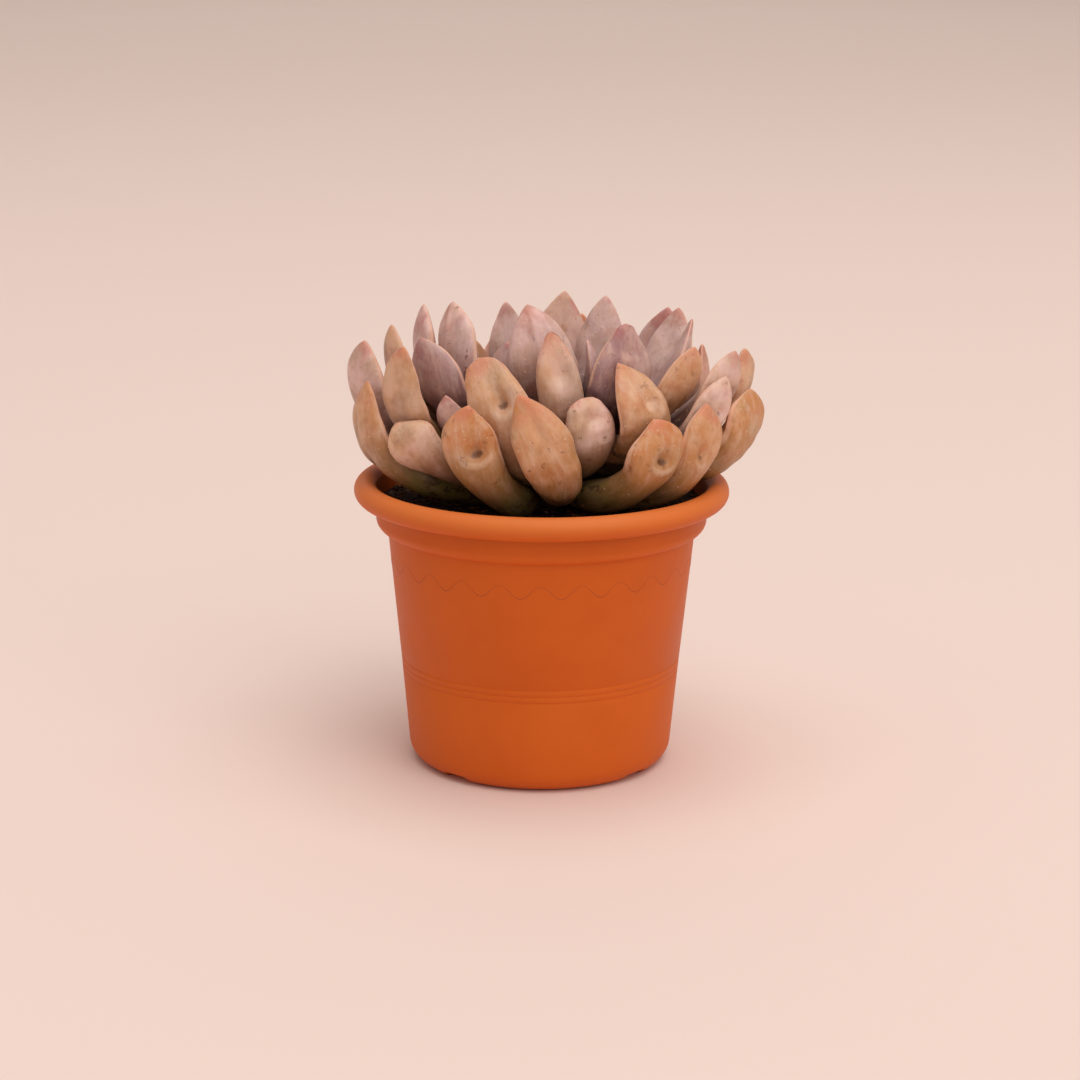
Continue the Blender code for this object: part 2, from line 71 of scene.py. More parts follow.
NOTCH_OVERSHOOT = 5.0 * MM
NOTCH_LEAST_EDGE = 1.0 * MM
NOTCH_AZIMUTHS = (49.0, 139.0, 229.0, 319.0)
DRAIN_HOLE_RADIUS = 3.0 * MM
DRAIN_HOLE_REACH = 25.0 * MM
POT_STEPS = 160
SHARP_ANGLE = math.radians(42.0)
# Heights over which the top of the rim is painted lighter, as a painted highlight from the light above.
RIM_HIGHLIGHT_FROM = 86.0 * MM
RIM_HIGHLIGHT_TO = 91.0 * MM


def outward(azimuth):
    """Unit vectors along the ground, away from the stem, at azimuths in degrees from the plant's front."""
    angle = np.radians(azimuth)
    return np.stack([np.sin(angle), -np.cos(angle), np.zeros_like(angle)], axis=-1)


def sideways(azimuth):
    """Unit vectors along the ground, square to outward, towards growing azimuths."""
    angle = np.radians(azimuth)
    return np.stack([np.cos(angle), np.sin(angle), np.zeros_like(angle)], axis=-1)


def arc(centre, radius, start, end, steps):
    """Points (radius, height) along an arc of a turned section, between two angles in degrees."""
    angles = [math.radians(start + (end - start) * step / steps) for step in range(steps + 1)]
    return [(centre[0] + radius * math.cos(angle), centre[1] + radius * math.sin(angle))
            for angle in angles]


def turned(profile, steps):
    """A closed round body from the points (radius, height) round its section."""
    shape = bmesh.new()
    points = [shape.verts.new((radius, 0.0, height)) for radius, height in profile]
    edges = [shape.edges.new(pair) for pair in zip(points, points[1:] + points[:1])
             if max(pair[0].co.x, pair[1].co.x) > 0.0]
    bmesh.ops.spin(shape, geom=points + edges, cent=(0, 0, 0), axis=(0, 0, 1), angle=math.tau,
                   steps=steps, use_merge=True)
    bmesh.ops.remove_doubles(shape, verts=shape.verts, dist=0.002 * MM)
    bmesh.ops.recalc_face_normals(shape, faces=shape.faces)
    return shape


def show(thing):
    """Put an object in the scene."""
    bpy.context.scene.collection.objects.link(thing)


def make_piece(name, shape, finish):
    """A scene object from a bmesh, shaded smooth but for its sharp corners."""
    mesh = bpy.data.meshes.new(name)
    shape.to_mesh(mesh)
    shape.free()
    mesh.shade_smooth()
    mesh.set_sharp_from_angle(angle=SHARP_ANGLE)
    mesh.materials.append(finish)
    piece = bpy.data.objects.new(name, mesh)
    show(piece)
    return piece


def wall_radius(height):
    """Radius of the tapering wall's outside at a height."""
    return BASE_RADIUS + (WALL_TOP_RADIUS - BASE_RADIUS) * height / NECK_BOTTOM


def grooved_wall(low, high):
    """The straight wall's points between two heights, dipping at each turned groove."""
    points = [(wall_radius(low), low)]
    for height in GROOVE_HEIGHTS:
        for share, depth in ((-1.0, 0.0), (-0.4, 0.75), (0.0, 1.0), (0.4, 0.75), (1.0, 0.0)):
            z = height + share * GROOVE_HALF_WIDTH
            points.append((wall_radius(z) - depth * GROOVE_DEPTH, z))
    return points + [(wall_radius(high), high)]


def pot_profile():
    """The pot's turned section, from the curled lip down its inside and up its outside."""
    roll = (RIM_RADIUS - ROLL_RADIUS, ROLL_CENTRE_HEIGHT)
    step = NECK_RADIUS - WALL_TOP_RADIUS
    shoulder = (WALL_TOP_RADIUS, NECK_BOTTOM)
    lip_reach = ROLL_RADIUS - WALL / 2
    lip = (roll[0] + lip_reach * math.cos(math.radians(ROLL_END)),
           roll[1] + lip_reach * math.sin(math.radians(ROLL_END)))
    outside_curl = arc(roll, ROLL_RADIUS, ROLL_END, 180.0, 30)
    inside_curl = arc(roll, ROLL_RADIUS - WALL, 165.0, ROLL_END, 20)
    lip_round = arc(lip, WALL / 2, ROLL_END + 180.0, ROLL_END + 360.0, 6)[1:-1]
    inner_wall = [(NECK_RADIUS - WALL, NECK_TOP)] + arc(shoulder, step - WALL, 0.0, -90.0, 8)
    inner_wall += [(wall_radius(NECK_BOTTOM - step) - WALL, NECK_BOTTOM - step),
                   (wall_radius(FLOOR_TOP) - WALL, FLOOR_TOP), (0.0, FLOOR_TOP)]
    underside = [(0.0, 0.0), (PAD_RADIUS, 0.0), (PAD_RADIUS + PAD_SLOPE, FLOOR_RAISE),
                 (FOOT_INNER_RADIUS - PAD_SLOPE, FLOOR_RAISE), (FOOT_INNER_RADIUS, 0.0)]
    corner_centre = (wall_radius(BASE_CORNER) - BASE_CORNER, BASE_CORNER)
    corner = arc(corner_centre, BASE_CORNER, -90.0, 0.0, 12)
    wall = grooved_wall(BASE_CORNER, NECK_BOTTOM - step)[1:-1]
    neck = arc(shoulder, step, -90.0, 0.0, 10) + [(NECK_RADIUS, NECK_TOP)]
    return outside_curl + inner_wall + underside + corner + wall + neck + inside_curl + lip_round


def notch_cutter(azimuth):
    """A wedge across the foot with rounded upper corners, wider at the bottom, along its azimuth."""
    shape = bmesh.new()
    near, far = FOOT_INNER_RADIUS + NOTCH_INSET, BASE_RADIUS + NOTCH_OVERSHOOT
    section = ((-NOTCH_FOOT_WIDTH / 2, -NOTCH_BELOW), (NOTCH_FOOT_WIDTH / 2, -NOTCH_BELOW),
               (NOTCH_TOP_WIDTH / 2, NOTCH_HEIGHT), (-NOTCH_TOP_WIDTH / 2, NOTCH_HEIGHT))
    side, away = sideways(azimuth), outward(azimuth)
    corners = [shape.verts.new(side * x + away * near + np.array((0, 0, z))) for x, z in section]
    face = shape.faces.new(corners)
    grown = bmesh.ops.extrude_face_region(shape, geom=[face])["geom"]
    bmesh.ops.translate(shape, vec=Vector(away * (far - near)),
                        verts=[item for item in grown if isinstance(item, bmesh.types.BMVert)])
    bmesh.ops.recalc_face_normals(shape, faces=shape.faces)
    upper = [edge for edge in shape.edges if min(vert.co.z for vert in edge.verts) > 0.0
             and abs((edge.verts[1].co - edge.verts[0].co).dot(Vector(away))) > NOTCH_LEAST_EDGE]
    bmesh.ops.bevel(shape, geom=upper, affect="EDGES", offset=NOTCH_ROUNDING, segments=4, profile=0.5,
                    material=-1)
    return shape


def drain_cutter(azimuth):
    """A round plug through the pot's floor, along an azimuth."""
    shape = bmesh.new()
    bmesh.ops.create_cone(shape, cap_ends=True, segments=32, radius1=DRAIN_HOLE_RADIUS,
                          radius2=DRAIN_HOLE_RADIUS, depth=3 * FLOOR_TOP)
    bmesh.ops.translate(shape, verts=shape.verts, vec=Vector(outward(azimuth) * DRAIN_HOLE_REACH))
    return shape


def evaluated(piece):
    """The mesh that an object shows, with its modifiers or bevel applied."""
    graph = bpy.context.evaluated_depsgraph_get()
    return bpy.data.meshes.new_from_object(piece.evaluated_get(graph))


def cut_away(piece, tools):
    """Cut all the tools from the piece in one Boolean, and remove them."""
    group = bpy.data.collections.new("cutters")
    for tool in tools:
        group.objects.link(tool)
    cut = piece.modifiers.new("Notches and drains", "BOOLEAN")
    cut.operand_type = "COLLECTION"
    cut.collection = group
    cut.solver = "EXACT"
    result = evaluated(piece)
    piece.modifiers.clear()
    piece.data = result
    for tool in tools:
        bpy.data.objects.remove(tool)
    bpy.data.collections.remove(group)


def seen(red, green, blue):
    """A colour as the eye reads it on a screen, 0 to 255 each, as the linear one that shaders take."""
    shares = [value / 255.0 for value in (red, green, blue)]
    return tuple(s / 12.92 if s <= 0.04045 else ((s + 0.055) / 1.055) ** 2.4 for s in shares) + (1.0,)


def new_finish(name):
    """A material and its node tree, with its Principled shader."""
    finish = bpy.data.materials.new(name)
    finish.use_nodes = True
    return finish, finish.node_tree, finish.node_tree.nodes["Principled BSDF"]


def plug(socket, value):
    """Link a socket to another node's output, or set it to a plain value."""
    if isinstance(value, bpy.types.NodeSocket):
        socket.id_data.links.new(value, socket)
    else:
        socket.default_value = value


def put(tree, kind, sockets=None, **settings):
    """Add one shader node with its settings, and fill its sockets by name."""
    node = tree.nodes.new("ShaderNode" + kind)
    for name, value in settings.items():
        setattr(node, name, value)
    for name, value in (sockets or {}).items():
        plug(node.inputs[name], value)
    return node


def coloured(share, first, second):
    """Lay the second colour over the first by a share, and give the result."""
    return put(share.id_data, "Mix", {0: share, 6: first, 7: second}, data_type="RGBA").outputs[2]


def grained(place, scale, detail=2.0, roughness=0.5):
    """Noise from 0 to 1, with scale in patches a metre."""
    return put(place.id_data, "TexNoise", {"Vector": place, "Scale": scale, "Detail": detail,
                                           "Roughness": roughness}).outputs["Fac"]


def ranged(value, low, high, bottom=0.0, top=1.0, smooth=True):
    """Stretch a value from low..high to bottom..top, with soft ends unless smooth is off."""
    node = put(value.id_data, "MapRange", {"Value": value, "From Min": low, "From Max": high,
                                           "To Min": bottom, "To Max": top})
    node.interpolation_type = "SMOOTHSTEP" if smooth else "LINEAR"
    return node.outputs["Result"]


def reckoned(way, first, second):
    """Add or multiply two values."""
    return put(first.id_data, "Math", {0: first, 1: second}, operation=way).outputs[0]


def raised(height, distance, strength=1.0, below=None):
    """A bump of the given height in metres, over another if one is given."""
    sockets = {"Height": height, "Distance": distance, "Strength": strength}
    if below is not None:
        sockets["Normal"] = below
    return put(height.id_data, "Bump", sockets).outputs["Normal"]


def terracotta_plastic():
    """Orange-brown plastic: faint clouds of pigment, a fine moulded grain, a painted highlight on the top of
    the rim and a few scuffs.
    """
    finish, tree, shader = new_finish("Terracotta plastic")
    place = put(tree, "TexCoord").outputs["Object"]
    cloud = ranged(grained(place, 55.0, 3.0), 0.3, 0.7)
    colour = coloured(cloud, seen(209, 94, 21), seen(213, 98, 24))
    height = put(tree, "SeparateXYZ", {"Vector": place}).outputs["Z"]
    # Painted highlight: the top of the rim is painted lighter and paler, where the light from above falls on
    # it.
    rim_highlight = ranged(height, RIM_HIGHLIGHT_FROM, RIM_HIGHLIGHT_TO, 0.0, 0.8)
    colour = coloured(rim_highlight, colour, seen(224, 122, 58))
    scuff = ranged(grained(place, 900.0, 4.0, 0.7), 0.66, 0.78, 0.0, 0.35)
    worn = ranged(grained(place, 130.0, 1.0), 0.52, 0.68)
    scuff = reckoned("MULTIPLY", scuff, worn)
    colour = coloured(scuff, colour, seen(232, 150, 105))
    plug(shader.inputs["Base Color"], colour)
    plug(shader.inputs["Roughness"], ranged(cloud, 0.0, 1.0, 0.46, 0.54, False))
    grain = raised(grained(place, 2600.0, 2.0), 0.02 * MM, 0.6)
    wavy = raised(grained(place, 260.0, 1.0), 0.02 * MM, 0.5, grain)
    plug(shader.inputs["Normal"], wavy)
    shader.inputs["Specular IOR Level"].default_value = 0.22
    return finish


pot_finish = terracotta_plastic()
pot = make_piece("nursery_pot", turned(pot_profile(), POT_STEPS), pot_finish)
cutters = []
for place, azimuth in enumerate(NOTCH_AZIMUTHS):
    cutters.append(make_piece(f"notch_{place}", notch_cutter(azimuth), pot_finish))
    cutters.append(make_piece(f"drain_{place}", drain_cutter(azimuth), pot_finish))
cut_away(pot, cutters)
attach(pot, "root")
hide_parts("pot")

# Wave line: a hair-thin raised line that the mould leaves round the wall under the shoulder, in the same
# plastic, painted darker as the shade along it. It runs up and down in even waves and stands half out of the
# wall.
WAVE_COUNT = 24
WAVE_HEIGHT = 67.0 * MM
WAVE_RISE = 2.1 * MM
WAVE_PHASE = 90.0
WAVE_POINTS = 14
WAVE_LINE_RADIUS = 0.3 * MM

line = bpy.data.curves.new("wave_line", "CURVE")
line.dimensions = "3D"
line.bevel_depth = WAVE_LINE_RADIUS
line.bevel_resolution = 1
strand = line.splines.new("POLY")
strand.points.add(WAVE_COUNT * WAVE_POINTS - 1)
strand.use_cyclic_u = True
for step, point in enumerate(strand.points):
    turn = 360.0 * step / len(strand.points)
    height = WAVE_HEIGHT + WAVE_RISE * math.sin(math.radians(WAVE_COUNT * turn + WAVE_PHASE))
    point.co = (*(outward(turn) * wall_radius(height))[:2], height, 1.0)
carrier = bpy.data.objects.new("wave_carrier", line)
show(carrier)
wave = bpy.data.objects.new("pot_wave_line", evaluated(carrier))
show(wave)
bpy.data.objects.remove(carrier)
wave_finish, _, wave_shader = new_finish("Plastic line with painted shade")
# Painted shade: the pot's colour, darkened for the shadow along the line.
wave_shader.inputs["Base Color"].default_value = seen(170, 64, 16)
wave_shader.inputs["Roughness"].default_value = 0.6
wave.data.materials.append(wave_finish)
wave.data.shade_smooth()
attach(wave, "root")

# Soil: dark potting mix of peat and composted bark, filled to just under the rim and left open and crumbly.
# Its top is one rough surface with loose crumbs pressed into it, and pale brown fibres lie across it.
SOIL_TOP = 85.0 * MM
SOIL_DISH = 1.0 * MM
STEM_HOLE_DEPTH = 24.0 * MM
STEM_RADIUS = 9.0 * MM
SOIL_STEPS = 150
SOIL_RINGS = 44
SOIL_ROUGHNESS = 0.9 * MM
SOIL_LUMPS = (260.0, 800.0)
SOIL_FINE_SHARE = 0.6
SOIL_CALM_SHARE = 0.06
CRUMB_COUNT = 1500
CRUMB_SIZES = (0.35 * MM, 1.3 * MM)
CRUMB_FINENESS = 2.2
FIBRE_COUNT = 420
FIBRE_LENGTHS = (2.5 * MM, 8.0 * MM)
FIBRE_RADIUS = 0.16 * MM
FIBRE_STEPS = 4
BATCH = 30
SOIL_SEED = 11
soil_draw = np.random.default_rng(SOIL_SEED)
soil_hole = STEM_RADIUS + GAP
soil_edge = NECK_RADIUS - WALL - GAP


def soil_height(x, y):
    """Height of the rough top: a shallow dish with lumps of two sizes, smooth where it meets the pot."""
    reach = math.hypot(x, y)
    share = min(1.0, max(0.0, (reach - soil_hole) / (soil_edge - soil_hole)))
    dish = SOIL_TOP - SOIL_DISH * math.sin(math.pi * share)
    calm = min(1.0, (1.0 - share) / SOIL_CALM_SHARE)
    coarse, fine = SOIL_LUMPS
    lumps = noise.noise(Vector((x, y, 0.0)) * coarse)
    lumps += SOIL_FINE_SHARE * noise.noise(Vector((x, y, 1.0)) * fine)
    return dish + SOIL_ROUGHNESS * calm * lumps


def make_soil_body(finish):
    """The soil's body: it follows the pot's inside, with a hole for the stem and a rough top."""
    step_height = NECK_BOTTOM - (NECK_RADIUS - WALL_TOP_RADIUS)
    floor = FLOOR_TOP + GAP
    top = [(soil_hole + (soil_edge - soil_hole) * ring / SOIL_RINGS, SOIL_TOP)
           for ring in range(SOIL_RINGS + 1)]
    profile = [(0.0, SOIL_TOP - STEM_HOLE_DEPTH), (soil_hole, SOIL_TOP - STEM_HOLE_DEPTH)] + top
    profile += arc((WALL_TOP_RADIUS, NECK_BOTTOM), soil_edge - WALL_TOP_RADIUS, 0.0, -90.0, 4)
    profile += [(wall_radius(step_height) - WALL - GAP, step_height),
                (wall_radius(floor) - WALL - GAP, floor), (0.0, floor)]
    shape = turned(profile, SOIL_STEPS)
    for vert in shape.verts:
        if abs(vert.co.z - SOIL_TOP) < 0.01 * MM:
            vert.co.z = soil_height(vert.co.x, vert.co.y)
    return make_piece("potting_mix", shape, finish)


def soil_spot():
    """A point on the soil's top, evenly spread, and a direction along the ground."""
    reach = math.sqrt(soil_draw.uniform((soil_hole + 1.0 * MM) ** 2, (soil_edge - 1.0 * MM) ** 2))
    turn = soil_draw.uniform(0.0, math.tau)
    x, y = reach * math.cos(turn), reach * math.sin(turn)
    return Vector((x, y, soil_height(x, y))), soil_draw.uniform(0.0, math.tau)


def crumb_batch(count):
    """Loose crumbs: small, knocked-about lumps, each with one shade of its own."""
    shape = bmesh.new()
    tone = shape.verts.layers.float.new("tone")
    for _ in range(count):
        spot, turn = soil_spot()
        size = CRUMB_SIZES[0] + (CRUMB_SIZES[1] - CRUMB_SIZES[0]) * soil_draw.random() ** CRUMB_FINENESS
        lump = bmesh.ops.create_icosphere(shape, subdivisions=1, radius=size)["verts"]
        shade = soil_draw.random()
        squash = Matrix.Diagonal((1.0, soil_draw.uniform(0.5, 1.0), soil_draw.uniform(0.4, 0.8))).to_4x4()
        for vert in lump:
            vert.co *= soil_draw.uniform(0.75, 1.2)
            vert[tone] = shade
        placed = Matrix.Translation(spot) @ Matrix.Rotation(turn, 4, "Z") @ squash
        bmesh.ops.transform(shape, matrix=placed, verts=lump)
    return shape


def fibre_batch(count):
    """Thin three-sided fibres that arch a little over the crumbs."""
    shape = bmesh.new()
    tone = shape.verts.layers.float.new("tone")
    for _ in range(count):
        spot, turn = soil_spot()
        length = soil_draw.uniform(*FIBRE_LENGTHS)
        thickness = FIBRE_RADIUS * soil_draw.uniform(0.5, 1.3)
        curl, lift, shade = soil_draw.uniform(-1.2, 1.2), soil_draw.uniform(0.0, 0.5), soil_draw.random()
        begun = bmesh.ops.create_circle(shape, cap_ends=True, segments=3, radius=thickness)["verts"]
        face = begun[0].link_faces[0]
        bmesh.ops.transform(shape, matrix=Matrix.Rotation(math.pi / 2, 4, "Y"), verts=begun)
        every = list(begun)
        bend = Matrix.Rotation(curl / FIBRE_STEPS, 4, "Z") @ Matrix.Rotation(2 * lift / FIBRE_STEPS, 4, "Y")
        for _ in range(FIBRE_STEPS):
            grown = bmesh.ops.extrude_face_region(shape, geom=[face])["geom"]
            bmesh.ops.delete(shape, geom=[face], context="FACES_ONLY")
            moved = [item for item in grown if isinstance(item, bmesh.types.BMVert)]
            face = next(item for item in grown if isinstance(item, bmesh.types.BMFace))
            centre = sum((vert.co for vert in moved), Vector()) / len(moved)
            bmesh.ops.translate(shape, vec=(length / FIBRE_STEPS, 0.0, 0.0), verts=moved)
            bmesh.ops.rotate(shape, cent=centre, matrix=bend.to_3x3(), verts=moved)
            every += moved
        for vert in every:
            vert[tone] = shade
        laid = Matrix.Translation(spot + Vector((0.0, 0.0, thickness))) @ Matrix.Rotation(turn, 4, "Z")
        placed = laid @ Matrix.Rotation(-lift, 4, "Y")
        bmesh.ops.transform(shape, matrix=placed, verts=every)
    bmesh.ops.recalc_face_normals(shape, faces=shape.faces)
    return shape


def scattered(name, batch, count, finish):
    """One piece from small batches, because an operator slows down as its bmesh fills up."""
    whole = bmesh.new()
    for _ in range(count // BATCH):
        part = bpy.data.meshes.new("batch")
        shape = batch(BATCH)
        shape.to_mesh(part)
        shape.free()
        whole.from_mesh(part)
        bpy.data.meshes.remove(part)
    return make_piece(name, whole, finish)


def potting_mix():
    """Near-black, damp peat with brown patches."""
    finish, tree, shader = new_finish("Potting mix")
    place = put(tree, "TexCoord").outputs["Object"]
    patch = ranged(grained(place, 420.0, 4.0, 0.65), 0.38, 0.68)
    colour = coloured(patch, seen(28, 17, 12), seen(88, 48, 30))
    plug(shader.inputs["Base Color"], colour)
    plug(shader.inputs["Normal"], raised(grained(place, 1500.0, 4.0, 0.7), 0.4 * MM))
    shader.inputs["Roughness"].default_value = 0.95
    shader.inputs["Specular IOR Level"].default_value = 0.2
    return finish


def ramped(value, stops):
    """A colour ramp through stops, each a position and a colour as the eye reads it."""
    ramp = put(value.id_data, "ValToRGB", {"Fac": value})
    while len(ramp.color_ramp.elements) < len(stops):
        ramp.color_ramp.elements.new(0.5)
    for element, (position, colour) in zip(ramp.color_ramp.elements, stops):
        element.position = position
        element.color = seen(*colour)
    return ramp.outputs["Color"]


def loose_matter(name, stops, scale):
    """Crumbs or fibres: a shade for each from its own tone, flecked by fine noise."""
    finish, tree, shader = new_finish(name)
    place = put(tree, "TexCoord").outputs["Object"]
    tone = put(tree, "Attribute", attribute_name="tone").outputs["Fac"]
    fleck = ranged(grained(place, scale, 3.0), 0.35, 0.7, 0.0, 0.6)
    colour = coloured(fleck, ramped(tone, stops), seen(24, 15, 11))
    plug(shader.inputs["Base Color"], colour)
    plug(shader.inputs["Normal"], raised(grained(place, 3200.0, 2.0), 0.15 * MM))
    shader.inputs["Roughness"].default_value = 0.9
    shader.inputs["Specular IOR Level"].default_value = 0.25
    return finish


crumb_finish = loose_matter("Peat crumbs", ((0.0, (30, 18, 13)), (0.7, (82, 46, 28)), (0.93, (132, 80, 46)),
                                            (1.0, (170, 150, 130))), 1400.0)
fibre_finish = loose_matter("Bark fibres", ((0.0, (70, 38, 20)), (0.6, (122, 70, 36)),
                                            (1.0, (176, 120, 72))), 900.0)
soil_body = make_soil_body(potting_mix())
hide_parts("soil")
crumbs = scattered("soil_crumbs", crumb_batch, CRUMB_COUNT, crumb_finish)
fibres = scattered("soil_fibres", fibre_batch, FIBRE_COUNT, fibre_finish)
for piece in (soil_body, crumbs, fibres):
    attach(piece, "root")

# Leaves: thick, water-filled leaves on the stem in a spiral, a golden angle apart, oldest and lowest first.
# Old ones have bent stalks and pitted, spoon-like heads, tan to orange; young ones are pointed mauve ovals.
# Each is one body with a powdery, waxy skin, and takes its shape from the same rule as the solids.
STEM_SHOULDER = 111.0 * MM
STEM_TOP = 116.0 * MM
BUD_ROOT_REACH = 5.0 * MM
GOLDEN_ANGLE = 137.508
FIRST_AZIMUTH = 295.5
FIRST_HEIGHT = 87.5 * MM
HEIGHT_STEP = 0.57 * MM
LEAF_COUNT = 42
BUD_LEAF_COUNT = 12
OLD_LEAF_COUNT = 20
BEND = 0.78
SEED = 7
STATIONS = (0.0, 0.10, 0.24, 0.40, 0.56, 0.69, 0.81, 0.90, 0.96, 0.99)
CLUB_WIDTHS = (0.32, 0.50, 0.66, 0.70, 0.80, 0.95, 1.00, 0.78, 0.40, 0.12)
OVAL_WIDTHS = (0.29, 0.42, 0.62, 0.84, 0.97, 1.00, 0.90, 0.66, 0.34, 0.11)
CLUB_THICKNESSES = (0.26, 0.42, 0.54, 0.56, 0.52, 0.46, 0.38, 0.29, 0.17, 0.08)
OVAL_THICKNESSES = (0.25, 0.34, 0.44, 0.46, 0.43, 0.38, 0.31, 0.23, 0.14, 0.07)
BLUNT_ENDS = (0.0, 0.0, 0.0, 0.0, 0.0, 0.0, 0.98, 0.95, 0.72, 0.36)
STALK_SHARES = (0.3, 0.8, 1.0, 1.0, 0.8, 0.35, 0.0, 0.0, 0.0, 0.0)
OVAL_FROM = 34
MARGIN_LIFT = 0.25
SETTLE_STATIONS = (0.03, 0.10, 0.18, 0.26, 0.34, 0.42, 0.50, 0.58, 0.66, 0.74, 0.81, 0.88, 0.94, 0.98)
SETTLE_ROUNDS = 160
SETTLE_GAP = 0.9 * MM
SETTLE_LENGTH = 0.7
SETTLE_FIRMNESS = 1.8
SETTLE_GAIN = 0.5
LEAST_HOLD = 0.2
RIM_APPROACH = (4.0 * MM, 1.0 * MM)

# The leaves that the plant's front shows, by their place in the spiral, in millimetres and degrees: tip
# azimuth, tip reach, tip height, head width, knee azimuth, knee reach, knee height, the azimuth that the
# back of the head faces, and the height of its keel, which is a pit where it is negative.
SHOWN_LEAVES = {
    0: (-76, 56, 126, 12.0, -60, 58, 94, -46, 0.0),
    1: (65, 55, 122, 18.0, 60, 57, 92, 42, -1.5),
    3: (-28, 46, 125, 17.5, -9, 45, 90, -12, -1.5),
    4: (115, 57, 132, 15.0, 120, 62, 96, 86, 0.0),
    5: (-99, 57, 119, 14.5, -97, 62, 94, -78, 0.0),
    6: (41, 50, 120, 20.0, 26, 50, 90, 32, -1.5),
    7: (165, 50, 138, 16.0, 165, 56, 96, 165, 0.0),
    8: (-61, 51, 116, 16.0, -44, 42, 97, 6, 0.0),
    9: (86, 65, 123, 21.5, 82, 64, 99, 48, 0.0),
    11: (-9, 46, 128, 18.0, 17, 50, 90, 4, -0.8),
    12: (136, 60, 141, 18.0, 141, 56, 102, 156, 0.0),
    13: (-88, 57, 136, 19.0, -92, 60, 104, -46, 0.0),
    14: (75, 60, 128, 15.0, 66, 54, 102, 30, -1.2),
    16: (-31, 39, 136, 20.0, -5, 43, 100, -8, -1.5),
    17: (98, 65, 133, 17.0, 100, 68, 104, 54, 0.0),
    18: (-110, 40, 146, 18.0, -102, 40, 106, -62, 0.0),
    19: (19, 37, 125, 16.0, 29, 42, 98, 16, -1.0),
    20: (171, 46, 146, 20.0, 178, 46, 106, 180, 0.0),
    21: (-56, 51, 139, 16.0, -68, 50, 106, -34, 0.0),
    22: (89, 61, 134, 17.5, 81, 54, 108, 40, 0.5),
    23: (-146, 39, 131, 16.0, -142, 41, 104, -142, 0.0),
    24: (-6, 24, 118, 10.0, -4, 28, 106, -4, 0.0),
    25: (128, 57, 142, 18.5, 124, 48, 108, 146, 0.0),
    26: (-83, 46, 143, 15.0, -92, 45, 110, -50, 0.0),
    27: (37, 38, 135, 20.0, 49, 57, 106, 40, -1.0),
    29: (-52, 38, 124, 11.5, -52, 34, 106, -30, 0.0),
    30: (112, 52, 141, 13.0, 108, 42, 112, 90, 0.0),
    31: (-126, 36, 137, 13.5, -124, 38, 110, -126, 0.0),
    32: (2, 27, 145, 14.5, 12, 30, 112, 4, -1.0),
    33: (149, 40, 146, 17.5, 150, 38, 112, 165, 0.0),
    34: (-68, 42, 139, 20.0, -56, 35, 112, -26, 0.0),
    35: (67, 51, 138, 17.5, 69, 43, 112, 34, 0.0),
    36: (-154, 27, 145, 14.0, -161, 29, 114, -165, 0.0),
    37: (-14, 19, 150, 21.0, 14, 27, 118, 4, 1.2),
    38: (125, 29, 135, 16.0, 121, 28, 112, 121, 0.0),
    39: (-100, 30, 148, 22.0, -84, 28, 117, -44, 1.2),
    40: (47, 35, 146, 21.5, 45, 37, 116, 27, 0.0),
    41: (174, 22, 139, 14.0, 173, 22, 113, 173, 0.0),
}

# Points that the centre lines of heads set askew on their stalks aim at: azimuth, reach and height.
HEAD_STANDS = {
    0: (-74, 60, 104),
    3: (-31, 48, 107),
    6: (47, 53, 104),
    8: (-55, 47, 105),
    19: (26, 41, 112),
}

# How much stouter than the rule some stalks are, and how blunt some heads' ends are.
STALKS = {0: 1.45, 3: 1.05, 6: 1.0, 21: 1.15, 9: 1.2}
BLUNT = {16: 0.8, 19: 0.8, 8: 0.4, 40: 0.5, 32: 0.5, 36: 0.3, 37: 0.3, 20: 0.2, 11: 0.3}

# Sizes in millimetres and degrees of the leaves that the front hides, for the oldest and the youngest.
HIDDEN_REACHES = (58.0, 24.0)
HIDDEN_HEIGHTS = (125.0, 139.0)
HIDDEN_WIDTHS = (18.5, 16.5)
HIDDEN_KNEES_BEYOND = (7.0, -1.0)
HIDDEN_KNEE_HEIGHTS = (92.0, 114.0)
HIDDEN_STRETCH = 2.0
HIDDEN_SWING = 5.0
FRONT_DIP = 4.0
BUD_REACHES = (15.0, 3.0)
BUD_HEIGHTS = (138.0, 128.0)
BUD_WIDTHS = (12.0, 6.0)
BUD_KNEES_BEYOND = (5.0, 2.0)
BUD_KNEE_HEIGHT = 120.0
BUD_SWING = 4.0

# Pits in the backs of the heads, by leaf: how far along it is, how far across from -1 to 1, half its length
# and half its width in millimetres, its depth, and how much shade is painted in it, less than 0 where a
# highlight is painted instead.
PITS = {
    1: ((0.74, -0.18, 2.6, 1.8, 1.6, 0.8),),
    3: ((0.745, 0.22, 2.5, 2.4, 2.8, 1.1),),
    6: ((0.745, 0.12, 2.6, 2.3, 2.8, 1.1),),
    11: ((0.84, 0.05, 3.0, 1.5, 1.4, 0.3), (0.66, -0.3, 3.0, 2.4, 0.6, 0.0),
         (0.52, 0.1, 4.0, 1.8, 0.5, 0.0)),
    14: ((0.82, 0.35, 2.0, 1.3, 1.6, 0.8),),
    16: ((0.815, 0.22, 2.6, 1.8, 2.6, 1.1),),
    19: ((0.83, 0.25, 2.6, 2.6, 1.4, -0.5), (0.70, 0.5, 1.4, 1.2, 0.5, 0.8)),
    21: ((0.62, 0.1, 4.0, 1.6, 0.6, 0.0),),
    22: ((0.74, 0.1, 4.0, 1.4, 0.7, 0.0),),
    25: ((0.76, -0.1, 2.0, 1.6, 0.7, 0.3),),
    27: ((0.78, 0.15, 4.4, 2.4, 2.2, -0.5),),
    32: ((0.82, 0.08, 4.2, 2.6, 2.0, -0.7),),
    35: ((0.60, -0.3, 1.6, 1.6, 0.6, 0.8),),
    40: ((0.86, 0.20, 1.2, 2.8, 1.2, 0.5),),
}
